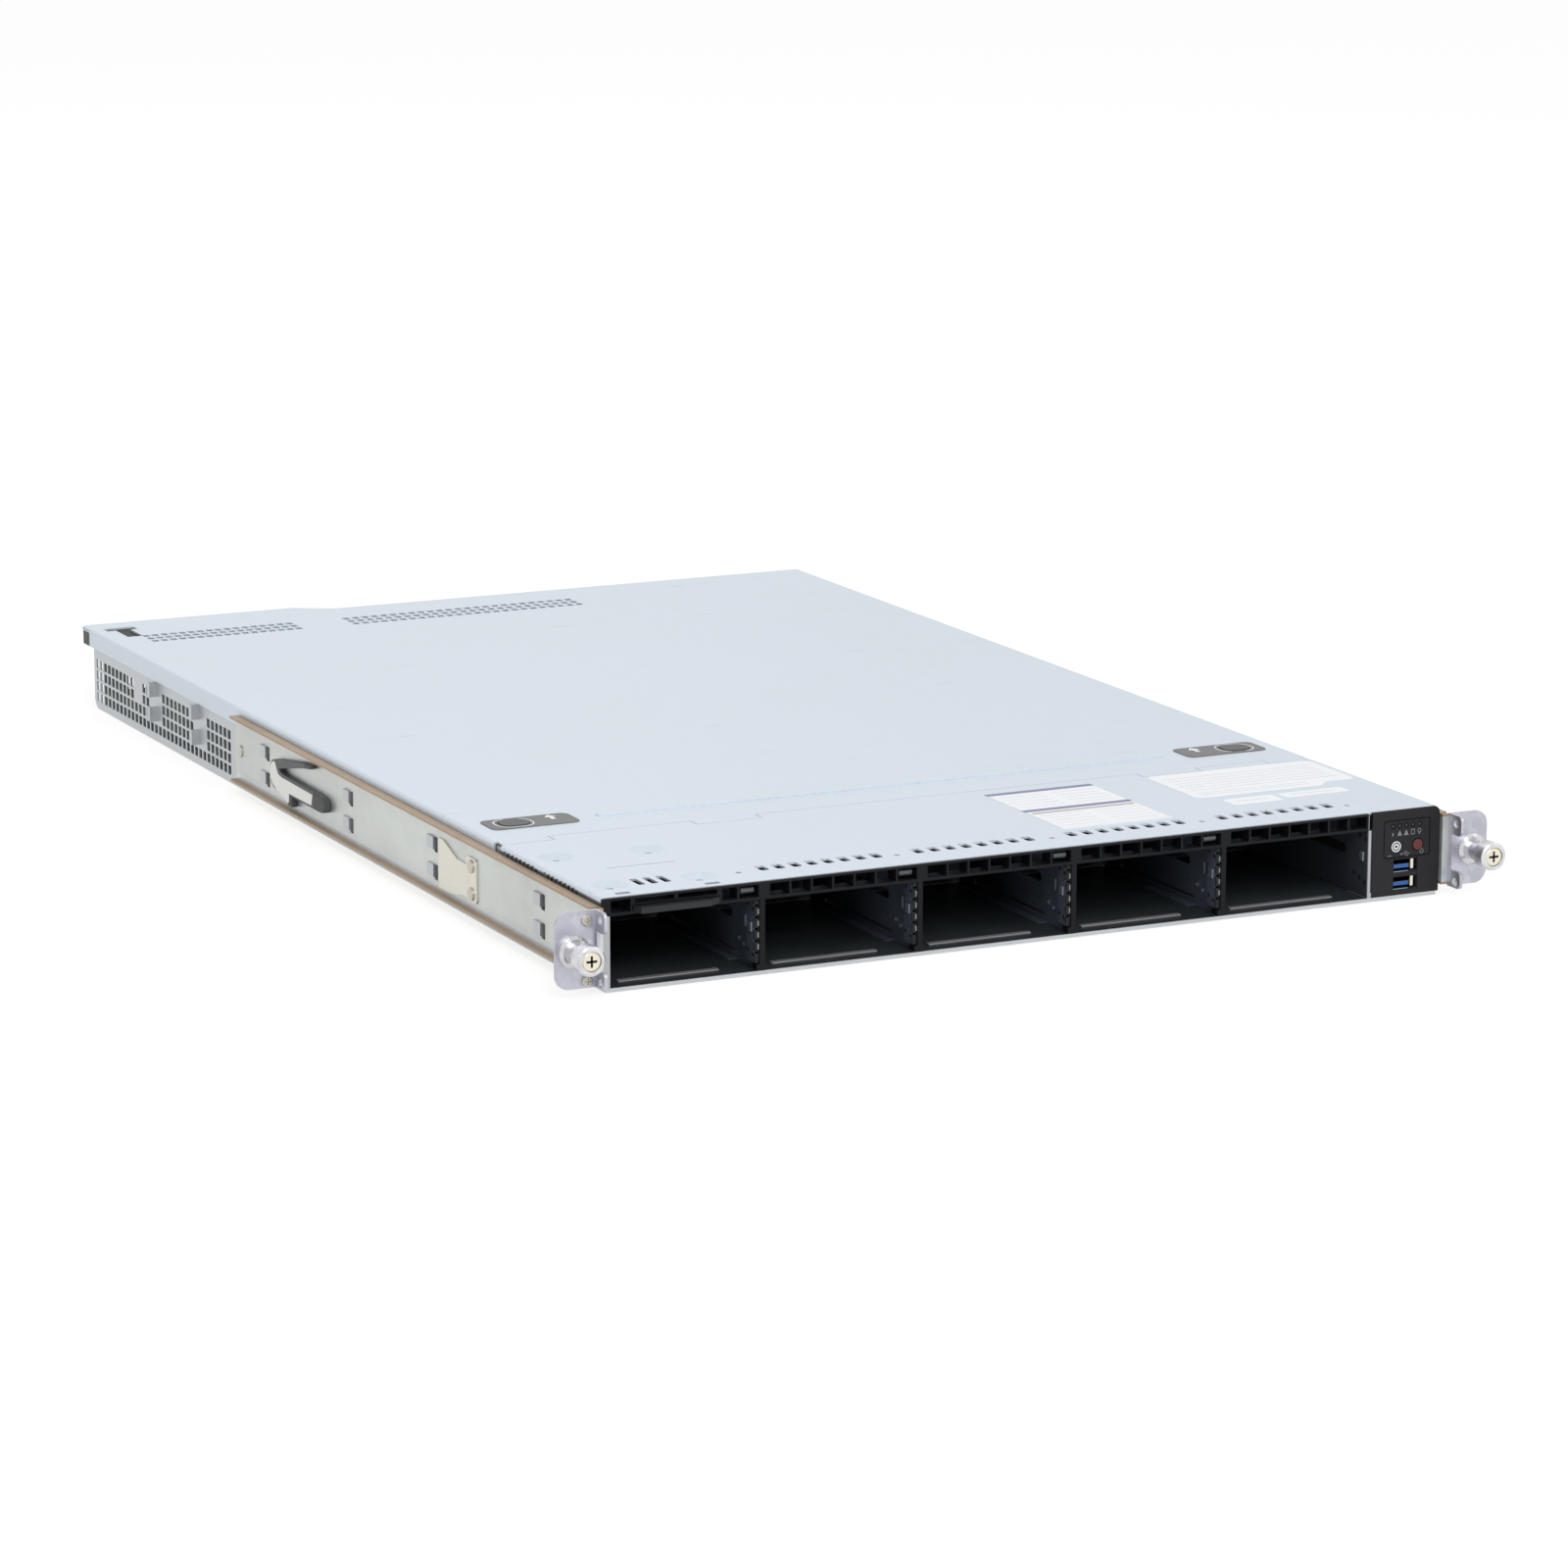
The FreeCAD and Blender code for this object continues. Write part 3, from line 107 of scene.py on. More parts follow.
class Nodes:
    """A tree of shader nodes, with short ways to add to it."""

    def __init__(self, tree: bpy.types.NodeTree) -> None:
        """Keeps the tree."""
        self.tree = tree

    def node(self, kind: str, settings: dict[str, Any] | None = None,
             inputs: dict[Any, Any] | None = None, output: Any = 0) -> Socket:
        """Adds a node.

        Args:
            kind: the node's type.
            settings: properties, set before its sockets.
            inputs: socket name or number to a number, colour or Socket.
            output: name or number of the output wanted.

        Returns:
            That output.
        """
        node = self.tree.nodes.new(kind)
        for key, value in (settings or {}).items():
            setattr(node, key, value)
        for key, value in (inputs or {}).items():
            self.feed(node.inputs[key], value)
        return Socket(self, node.outputs[output])

    def feed(self, target: bpy.types.NodeSocket, value: Any) -> None:
        """Links a Socket or sets a value.

        Args:
            target: the input.
            value: a Socket, a number, or a colour or vector of three numbers.
        """
        if isinstance(value, Socket):
            self.tree.links.new(value.link, target)
        elif target.type == "RGBA" and len(value) == 3:
            target.default_value = (*value, 1.0)
        else:
            target.default_value = value

    def seen(self) -> Socket:
        """1 for rays from the camera, gloss or glass, and 0 for light on the server."""
        rays = [self.node("ShaderNodeLightPath", output="Is %s Ray" % kind)
                for kind in ("Camera", "Glossy", "Transmission")]
        return (rays[0] + rays[1] + rays[2]).ramp(0.1, 0.9)


class Shader(Nodes):
    """One material's nodes around its Principled shader."""

    def __init__(self) -> None:
        """Starts a material with a Principled shader and object coordinates in metres."""
        self.material = bpy.data.materials.new("finish")
        self.material.use_nodes = True
        super().__init__(self.material.node_tree)
        self.surface = self.tree.nodes["Principled BSDF"]
        self.place = self.node("ShaderNodeTexCoord", output="Object")

    def set(self, **inputs: Any) -> None:
        """Feeds the Principled shader; underscores in names stand for spaces."""
        for key, value in inputs.items():
            self.feed(self.surface.inputs[key.replace("_", " ")], value)

    def axis(self, index: int) -> Socket:
        """One coordinate in millimetres."""
        part = self.node("ShaderNodeSeparateXYZ", inputs={0: self.place}, output=index)
        return part * (1.0 / MM)

    def noise(self, scale: float, detail: float = 2.0, stretch: Point | None = None) -> Socket:
        """Noise on object coordinates.

        Args:
            scale: cells per metre.
            detail: octaves.
            stretch: how much faster it changes along each axis.

        Returns:
            The noise value, about 0.5 in the middle.
        """
        vector = self.place
        if stretch:
            vector = self.node("ShaderNodeMapping", inputs={"Vector": self.place, "Scale": stretch})
        return self.node("ShaderNodeTexNoise",
                         inputs={"Vector": vector, "Scale": scale, "Detail": detail})

    def cells(self, scale: float) -> Socket:
        """A random grey for each crystal-like cell."""
        colour = self.node("ShaderNodeTexVoronoi", inputs={"Vector": self.place, "Scale": scale},
                           output="Color")
        return self.node("ShaderNodeSeparateColor", inputs={0: colour})

    def mix(self, factor: Any, first: Any, second: Any) -> Socket:
        """Blends two colours."""
        return self.node("ShaderNodeMix", {"data_type": "RGBA"},
                         {0: factor, 6: first, 7: second}, 2)

    def bump(self, height: Socket, distance: float, strength: float) -> Socket:
        """A normal from a height, with its depth in metres."""
        return self.node("ShaderNodeBump", inputs={"Height": height, "Distance": distance,
                                                   "Strength": strength})


def tint(colour: Colour, gain: float) -> Colour:
    """A colour made lighter or darker."""
    return tuple(min(1.0, channel * gain) for channel in colour)


# Finishes.  Scales are cells per metre, _mm is in millimetres, the rest are shares.
@dataclass(frozen=True)
class ZincSheet:
    """Zinc-coated steel: faint crystals, rolling grain, rubbed marks and dull patches."""

    colour: Colour
    metal: float = 0.82
    rough: float = 0.38
    spangle: float = 0.05
    patch: float = 0.05
    marks: float = 0.5
    crystal_scale: float = 230.0
    cloud_scale: float = 9.0
    pit_scale: float = 1400.0
    grain_scale: float = 4.0
    grain_stretch: Point = (240.0, 6.0, 240.0)
    scuff_scale: float = 26.0
    scuff_stretch: Point = (1.0, 3.5, 3.5)

    def material(self) -> bpy.types.Material:
        """Builds the material."""
        shader = Shader()
        crystal = shader.cells(self.crystal_scale)
        cloud = shader.noise(self.cloud_scale, 3.0)
        pits = shader.noise(self.pit_scale)
        grain = shader.noise(self.grain_scale, stretch=self.grain_stretch)
        lift = crystal.swing * self.spangle + cloud.swing * (2 * self.patch) + grain.swing * 0.05
        light = shader.mix(lift + 0.5, tint(self.colour, 0.72), tint(self.colour, 1.28))
        scuff = shader.noise(self.scuff_scale, 6.0, self.scuff_stretch)
        rubbed = scuff.ramp(0.66, 0.78) * self.marks * 0.35
        rough = crystal.swing * 0.06 + cloud.swing * 0.12 + rubbed * 0.25 + self.rough
        shader.set(Base_Color=shader.mix(rubbed, light, tint(self.colour, 0.62)),
                   Metallic=self.metal, Roughness=rough,
                   Normal=shader.bump(pits + grain * 0.6, FINE_RELIEF, 0.6))
        return shader.material


@dataclass(frozen=True)
class RailSheet:
    """Zinc sheet of a slide member: a painted reflection as a pale blue band at the foot of the
    web, and tan film on the flanges.
    """

    colour: Colour
    film: Colour
    low_mm: float
    high_mm: float
    # painted reflection: a pale blue band on the web just above the lower flange
    reflection_mm: float = 3.2
    reflection_colour: Colour = (0.66, 0.73, 0.80)
    crystal_colour: Colour = (0.60, 0.62, 0.66)
    crystal_scale: float = 160.0
    cloud_scale: float = 14.0
    pit_scale: float = 1200.0
    metal: float = 0.7
    rough: float = 0.38

    def material(self) -> bpy.types.Material:
        """Builds the material."""
        shader = Shader()
        height = shader.axis(2)
        flange = (height > self.high_mm) + (height < self.low_mm)
        crystal = shader.cells(self.crystal_scale)
        cloud = shader.noise(self.cloud_scale, 4.0)
        green = shader.mix(cloud.ramp(0.35, 0.7), self.colour, tint(self.colour, 0.86))
        web = shader.mix(crystal.swing * 0.18 + 0.1, green, self.crystal_colour)
        # painted reflection on the web's foot, above the lower flange
        reflection = (height < self.low_mm + self.reflection_mm) * (1 - flange) * 0.6
        web = shader.mix(reflection, web, self.reflection_colour)
        tan = shader.mix(cloud.ramp(0.45, 0.7) * 0.45, self.film, tint(self.film, 0.72))
        shader.set(Base_Color=shader.mix(flange, web, tan), Metallic=self.metal,
                   Roughness=crystal.swing * 0.1 + flange * 0.12 + self.rough,
                   Normal=shader.bump(shader.noise(self.pit_scale), FINE_RELIEF, 0.5))
        return shader.material


@dataclass(frozen=True)
class Plastic:
    """Moulded plastic with spark-eroded grain and slight handling shine."""

    colour: Colour
    rough: float = 0.48
    shine: float = 0.3
    grain_scale: float = 1600.0
    hand_scale: float = 18.0

    def material(self) -> bpy.types.Material:
        """Builds the material."""
        shader = Shader()
        speck = shader.noise(self.grain_scale, 3.0)
        hand = shader.noise(self.hand_scale, 3.0)
        base = shader.mix(hand.ramp(0.35, 0.7), tint(self.colour, 0.88), tint(self.colour, 1.15))
        shader.set(Base_Color=base, Specular_IOR_Level=self.shine,
                   Roughness=hand.swing * 0.16 + speck.swing * 0.1 + self.rough,
                   Normal=shader.bump(speck, COARSE_RELIEF, 0.7))
        return shader.material


@dataclass(frozen=True)
class ShadedCage:
    """Dark cage steel: painted light near the front, lighter and bluish, fading to painted shade
    deeper in; painted highlights on the beads near the front, and a bare front edge.
    """

    colour: Colour
    # painted light: the lighter, bluish colour near the front of the bays
    near: Colour
    bead_mm: float
    bead_rise_mm: float = 0.7
    bead_highlight_end_mm: float = -323.0
    bare_edge_mm: float = -340.15
    flange_mm: float = -339.2
    # painted shade: depths over which the painted light near the front fades to the dark colour
    shade_ramp_mm: Flat = (-322.0, -240.0)
    # steel colour of the bare front edge, also the painted highlight on the beads near the front
    bare: Colour = (0.42, 0.43, 0.44)
    cloud_scale: float = 30.0
    pit_scale: float = 900.0

    def material(self) -> bpy.types.Material:
        """Builds the material."""
        shader = Shader()
        height = shader.axis(2)
        depth = shader.axis(1)
        bead = (height > self.bead_mm) * (height < self.bead_mm + self.bead_rise_mm)
        # bare front edge, and painted highlight on the beads near the front
        bare_and_highlight = (bead * (depth < self.bead_highlight_end_mm) + (depth < self.bare_edge_mm)).ramp(0.1, 0.9)
        cloud = shader.noise(self.cloud_scale, 3.0)
        # painted light near the front fading to painted shade deeper in
        painted_shade = depth.ramp(*self.shade_ramp_mm) + (depth < self.flange_mm)
        base = shader.mix(cloud.ramp(0.3, 0.7) * 0.4, shader.mix(painted_shade, self.near, self.colour),
                          self.colour)
        shader.set(Base_Color=shader.mix(bare_and_highlight, base, self.bare), Metallic=bare_and_highlight * 0.5 + 0.2,
                   Roughness=cloud.swing * 0.2 + 0.45, Specular_IOR_Level=0.3,
                   Normal=shader.bump(shader.noise(self.pit_scale), FINE_RELIEF, 0.5))
        return shader.material


@dataclass(frozen=True)
class Board:
    """Fibreglass circuit board: lacquer, copper areas and fine traces."""

    colour: Colour
    area_scale: float = 70.0
    pitch_mm: float = 1.3
    rough: float = 0.34

    def material(self) -> bpy.types.Material:
        """Builds the material."""
        shader = Shader()
        area = shader.cells(self.area_scale).ramp(0.45, 0.55)
        trace = self._stripe(shader, 0) * area + self._stripe(shader, 1) * (1 - area)
        base = shader.mix(area * 0.35, self.colour, tint(self.colour, 1.5))
        shader.set(Base_Color=shader.mix(trace * 0.5, base, tint(self.colour, 2.0)),
                   Roughness=self.rough, Normal=shader.bump(trace, COARSE_RELIEF, 0.6))
        return shader.material

    def _stripe(self, shader: Shader, axis: int) -> Socket:
        """Fine parallel lines across one axis."""
        turns = shader.axis(axis) / self.pitch_mm
        return shader.node("ShaderNodeMath", {"operation": "FRACT"}, {0: turns}).ramp(0.6, 0.7)


@dataclass(frozen=True)
class PaperLabel:
    """Glossy printed paper, a little uneven in tone."""

    colour: Colour
    rough: float = 0.35
    cloud_scale: float = 60.0

    def material(self) -> bpy.types.Material:
        """Builds the material."""
        shader = Shader()
        cloud = shader.noise(self.cloud_scale)
        shader.set(Base_Color=shader.mix(cloud, tint(self.colour, 0.96), self.colour),
                   Roughness=cloud.swing * 0.1 + self.rough)
        return shader.material


@dataclass(frozen=True)
class TurnedMetal:
    """Metal turned on a lathe about an axis along Y: fine rings and faint stains."""

    colour: Colour
    rough: float
    metal: float = 0.9
    ring_scale: float = 5.0
    ring_stretch: Point = (30.0, 900.0, 30.0)
    stain_scale: float = 220.0

    def material(self) -> bpy.types.Material:
        """Builds the material."""
        shader = Shader()
        ring = shader.noise(self.ring_scale, stretch=self.ring_stretch)
        stain = shader.noise(self.stain_scale, 3.0)
        base = shader.mix(stain.ramp(0.4, 0.7), self.colour, tint(self.colour, 0.82))
        shader.set(Base_Color=base, Metallic=self.metal, Roughness=ring.swing * 0.2 + self.rough,
                   Normal=shader.bump(ring, FINE_RELIEF, 0.5))
        return shader.material


class Finish(Enum):
    """Every finish used on the server."""

    COVER = ZincSheet((0.635, 0.70, 0.765), metal=0.6, rough=0.46, marks=0.6)
    TRAY = ZincSheet((0.52, 0.545, 0.56), rough=0.40)
    EAR = ZincSheet((0.50, 0.50, 0.565), spangle=0.4, patch=0.14, rough=0.36)
    CLIP = ZincSheet((0.10, 0.105, 0.11), rough=0.42)
    FINGER = ZincSheet((0.50, 0.50, 0.48), rough=0.35)
    FIXING = ZincSheet((0.52, 0.49, 0.43), rough=0.28, spangle=0.15)
    STEEL_LINE = ZincSheet((0.42, 0.46, 0.52), rough=0.32)
    PLAIN = ZincSheet((0.50, 0.52, 0.54))
    SUPPLY = ZincSheet((0.40, 0.42, 0.44), metal=0.6, rough=0.45)
    LEAF = ZincSheet((0.68, 0.66, 0.58), rough=0.3, patch=0.1)
    LEVER_PLATE = ZincSheet((0.66, 0.66, 0.63), rough=0.34, patch=0.04)
    SCREW = ZincSheet((0.78, 0.73, 0.60), rough=0.3, spangle=0.1)
    RAIL = RailSheet((0.62, 0.65, 0.62), (0.42, 0.315, 0.225), 6.21, 37.99)
    # painted shade: the cage's dark colour stands for the unlit bays, and the second colour of both
    # is painted light near the front
    CAGE = ShadedCage((0.009, 0.011, 0.012), (0.036, 0.044, 0.048), 1.85)
    DIVIDER = ShadedCage((0.012, 0.014, 0.017), (0.085, 0.102, 0.135), 99.0)
    WALL = Plastic((0.030, 0.036, 0.046), rough=0.5)
    BEZEL = Plastic((0.0065, 0.007, 0.009), rough=0.5, shine=0.15)
    PANEL = Plastic((0.013, 0.013, 0.0145), rough=0.5, shine=0.2)
    TAG = Plastic((0.017, 0.018, 0.021), rough=0.4)
    LATCH = Plastic((0.135, 0.135, 0.135), rough=0.42)
    BUTTON = Plastic((0.095, 0.095, 0.097), rough=0.5)
    LEVER = Plastic((0.085, 0.088, 0.088), rough=0.45)
    NOSE = Plastic((0.03, 0.031, 0.032), rough=0.45)
    # black plastic of sockets, chips and the shroud, and also painted shade: dark holes, vent
    # slots, the wall groove, screw recesses and the plate under the key-shaped hole
    SOCKET = Plastic((0.008, 0.008, 0.009), rough=0.5, shine=0.2)
    FAN = Plastic((0.02, 0.021, 0.023), rough=0.45)
    BLUE = Plastic((0.03, 0.105, 0.30), rough=0.4)
    RED_BUTTON = Plastic((0.105, 0.026, 0.026), rough=0.45)
    LENS = Plastic((0.040, 0.043, 0.043), rough=0.35)
    BOARD = Board((0.012, 0.075, 0.045))
    # painted shade: the backplane deep in the chassis is drawn near black instead of board green
    SHADED_BOARD = Board((0.003, 0.007, 0.007))
    KNOB = TurnedMetal((0.70, 0.70, 0.72), 0.34)
    CHROME = TurnedMetal((0.64, 0.64, 0.66), 0.22)
    ALUMINIUM = ZincSheet((0.72, 0.73, 0.74), rough=0.32, spangle=0.0)
    GAP = Plastic((0.0015, 0.0015, 0.002), shine=0.05)
    # painted shade of the panel's side face
    EDGE_SHADE_BLUE = Plastic((0.006, 0.012, 0.035), shine=0.1)
    INK_WHITE = PaperLabel((0.86, 0.88, 0.9))
    INK_DIM = PaperLabel((0.20, 0.21, 0.23), rough=0.5)
    INK_GREY = PaperLabel((0.55, 0.59, 0.66))
    INK_TAUPE = PaperLabel((0.40, 0.37, 0.36))
    INK_BLUE = PaperLabel((0.14, 0.16, 0.33))
    PAPER = PaperLabel((0.90, 0.92, 0.95))


@cache
def material_of(finish: Finish) -> bpy.types.Material:
    """The material of a finish, made once."""
    material = finish.value.material()
    material.name = finish.name.lower()
    return material


# Solid shapes.  Sizes in millimetres; depths count from the bezel's face to the rear.
def settle(point: Sequence[float]) -> Point:
    """A place in the server's frame."""
    return point[0], point[1] + BEZEL_Y, point[2]


@dataclass(frozen=True)
class Box:
    """A box between two corners."""

    low: Point
    high: Point

    def moved(self, x: float = 0.0, y: float = 0.0, z: float = 0.0) -> Box:
        """The same box at another place."""
        return Box(*(tuple(a + b for a, b in zip(end, (x, y, z))) for end in (self.low, self.high)))

    def add(self, mesh: bmesh.types.BMesh) -> None:
        """Adds it to a mesh.

        Args:
            mesh: the mesh, in millimetres.
        """
        centre = settle([(a + b) / 2 for a, b in zip(self.low, self.high)])
        size = [abs(b - a) for a, b in zip(self.low, self.high)]
        matrix = Matrix.Translation(centre) @ Matrix.Diagonal((*size, 1.0))
        bmesh.ops.create_cube(mesh, size=1.0, matrix=matrix)


@dataclass(frozen=True)
class Prism:
    """A closed outline pushed along a vector."""

    outline: Sequence[Sequence[float]]
    push: Point

    def add(self, mesh: bmesh.types.BMesh) -> None:
        """Adds it to a mesh.

        Args:
            mesh: the mesh, in millimetres.
        """
        base = [mesh.verts.new(settle(p)) for p in self.outline]
        top = [mesh.verts.new(Vector(settle(p)) + Vector(self.push)) for p in self.outline]
        mesh.faces.new(base)
        mesh.faces.new(reversed(top))
        for i in range(len(base)):
            j = (i + 1) % len(base)
            mesh.faces.new((base[i], top[i], top[j], base[j]))


@dataclass(frozen=True)
class Band:
    """A flat band between two outlines with equal counts, pushed to a thickness."""

    inner: Sequence[Point]
    outer: Sequence[Point]
    push: Point
    closed: bool = True

    def add(self, mesh: bmesh.types.BMesh) -> None:
        """Adds it to a mesh.

        Args:
            mesh: the mesh, in millimetres.
        """
        rows = []
        for points in (self.inner, self.outer):
            rows.append([mesh.verts.new(settle(p)) for p in points])
            rows.append([mesh.verts.new(Vector(settle(p)) + Vector(self.push)) for p in points])
        order = (rows[0], rows[1], rows[3], rows[2])
        count = len(self.inner)
        for i in range(count if self.closed else count - 1):
            j = (i + 1) % count
            for a, b in zip(order, order[1:] + order[:1]):
                mesh.faces.new((a[i], a[j], b[j], b[i]))
        if not self.closed:
            for i in (0, -1):
                mesh.faces.new([row[i] for row in order])


Shape = Box | Prism | Band
RING_SPANS = 47
CLOSED_SWEEP = 352.5    # degrees that 47 of a ring's 48 spans cover; the band closes the last


def on_plane(outline: Iterable[Flat], axis: int, level: float) -> list[Point]:
    """Lays a flat outline across an axis, 0 to 2 for X to Z, at one level of it."""
    return [(*p[:axis], level, *p[axis:]) for p in outline]


def arc(centre: Flat, radius: float, start: float, sweep: float, steps: int) -> list[Flat]:
    """Points on an arc of so many steps, with angles in degrees."""
    angles = [math.radians(start + sweep * i / steps) for i in range(steps + 1)]
    return [(centre[0] + radius * math.cos(a), centre[1] + radius * math.sin(a)) for a in angles]


def rounded(rect: Rect, radius: float, inset: float = 0.0, steps: int = 6) -> list[Flat]:
    """A rectangle's outline with round corners, inset after they are rounded."""
    x0, x1, y0, y1 = (end + radius * sign for end, sign in zip(rect, (1, -1, 1, -1)))
    return [point for i, corner in enumerate(((x1, y1), (x0, y1), (x0, y0), (x1, y0)))
            for point in arc(corner, radius - inset, 90 * i, 90, steps)]


def front_ring(centre: Flat, radii: Flat, level: float, push: float, start: float = 0.0,
               sweep: float = CLOSED_SWEEP) -> Band:
    """A flat ring at one depth, or an open arc, with its start and sweep in degrees."""
    rows = [on_plane(arc(centre, radius, start, sweep, RING_SPANS), 1, level) for radius in radii]
    return Band(*rows, (0, push, 0), sweep == CLOSED_SWEEP)


def new_object(name: str, data: bpy.types.ID) -> bpy.types.Object:
    """A new object in the scene."""
    thing = bpy.data.objects.new(name, data)
    bpy.context.scene.collection.objects.link(thing)
    return thing


def mount(thing: bpy.types.Object, body: str) -> None:
    """Puts a finished piece on its body and reports it."""
    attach(thing, body)
    LOG.info("added %s on %s", thing.name, body)


def add_piece(name: str, finish: Finish, shapes: Iterable[Shape], body: str = "chassis",
              bevel: float = 0.0) -> None:
    """Builds one piece from its shapes.

    Args:
        name: the piece's name.
        finish: its finish.
        shapes: what it is made of.
        body: the CAD body it rides on.
        bevel: edge rounding in millimetres, or 0.
    """
    mesh = bmesh.new()
    for shape in shapes:
        shape.add(mesh)
    bmesh.ops.recalc_face_normals(mesh, faces=mesh.faces)
    bmesh.ops.scale(mesh, vec=(MM, MM, MM), verts=mesh.verts)
    data = bpy.data.meshes.new(name)
    mesh.to_mesh(data)
    mesh.free()
    data.materials.append(material_of(finish))
    thing = new_object(name, data)
    if bevel:
        modifier = thing.modifiers.new("edges", "BEVEL")
        modifier.width = bevel * MM
        modifier.segments = 2
        modifier.limit_method = "ANGLE"
    mount(thing, body)


# Geometry Nodes
@dataclass(frozen=True)
class Rows:
    """Equal blocks or studs: the first one's centre and size, and two directions.

    A stud's size is its diameter twice and its length; a direction is a count and a step.
    """

    start: Point
    size: Point
    first: tuple[int, Point]
    second: tuple[int, Point] = (1, (0, 0, 0))


class Lattice:
    """A node tree that repeats a block, or a stud that lies across, over two directions."""

    INPUTS = {"Count A": "Int", "Step A": "Vector", "Count B": "Int", "Step B": "Vector",
              "Start": "Vector", "Size": "Vector", "Material": "Material"}
    STUD_SIDES = 10

    def __init__(self, studs: bool) -> None:
        """Builds the tree.

        Args:
            studs: True for round studs and False for blocks.
        """
        self.tree = bpy.data.node_groups.new("stud_lattice" if studs else "block_lattice",
                                             "GeometryNodeTree")
        self.keys: dict[str, str] = {}
        for name, kind in self.INPUTS.items():
            socket = self.tree.interface.new_socket(name=name, in_out="INPUT",
                                                    socket_type="NodeSocket" + kind)
            self.keys[name] = socket.identifier
        self.tree.interface.new_socket(name="Geometry", in_out="OUTPUT",
                                       socket_type="NodeSocketGeometry")
        self.studs = studs
        self._wire()

    def _add(self, kind: str, **links: Any) -> bpy.types.NodeSocket:
        """Adds a node.

        Args:
            kind: its type, without the first words.
            links: its inputs by name, with underscores for spaces.

        Returns:
            Its first output.
        """
        node = self.tree.nodes.new("GeometryNode" + kind)
        for name, source in links.items():
            target = node.inputs[name.replace("_", " ")]
            if isinstance(source, bpy.types.NodeSocket):
                self.tree.links.new(source, target)
            else:
                target.default_value = source
        return node.outputs[0]

    def _wire(self) -> None:
        """Wires lines of points, the shape on each, then plain geometry with its material."""
        given = self.tree.nodes.new("NodeGroupInput").outputs
        first = self._add("MeshLine", Count=given["Count A"], Offset=given["Step A"],
                          Start_Location=given["Start"])
        second = self._add("MeshLine", Count=given["Count B"], Offset=given["Step B"])
        rows = self._add("InstanceOnPoints", Points=first, Instance=second)
        points = self._add("RealizeInstances", Geometry=rows)
        if self.studs:
            unit = self._add("MeshCylinder", Vertices=self.STUD_SIDES, Radius=0.5, Depth=1.0)
        else:
            unit = self._add("MeshCube", Size=(1.0, 1.0, 1.0))
        shape = self._add("Transform", Geometry=unit, Scale=given["Size"])
        if self.studs:
            shape = self._add("Transform", Geometry=shape, Rotation=(0.0, math.pi / 2, 0.0))
        placed = self._add("InstanceOnPoints", Points=points, Instance=shape)
        real = self._add("RealizeInstances", Geometry=placed)
        dressed = self._add("SetMaterial", Geometry=real, Material=given["Material"])
        output = self.tree.nodes.new("NodeGroupOutput")
        self.tree.links.new(dressed, output.inputs[0])

    def lay(self, name: str, finish: Finish, rows: Rows, across: float = 0.0,
            body: str = "chassis") -> None:
        """Lays one lattice down and turns it into a plain mesh.

        Args:
            name: the piece's name.
            finish: its finish.
            rows: its blocks or studs.
            across: how far along X the whole is moved.
            body: the CAD body it rides on.
        """
        thing = new_object(name, bpy.data.meshes.new("seed"))
        modifier = thing.modifiers.new("lattice", "NODES")
        modifier.node_group = self.tree
        start = settle((across + rows.start[0], *rows.start[1:]))
        values = {
            "Count A": rows.first[0], "Step A": [v * MM for v in rows.first[1]],
            "Count B": rows.second[0], "Step B": [v * MM for v in rows.second[1]],
            "Start": [v * MM for v in start], "Size": [v * MM for v in rows.size],
            "Material": material_of(finish),
        }
        for key, value in values.items():
            modifier[self.keys[key]] = value
        graph = bpy.context.evaluated_depsgraph_get()
        data = bpy.data.meshes.new_from_object(thing.evaluated_get(graph), depsgraph=graph)
        thing.modifiers.clear()
        thing.data = data
        data.name = name
        mount(thing, body)


# Sub-assemblies.  A Rect gives low and high across, then low and high in depth or height.
SIDES = ((-1, "left"), (1, "right"))


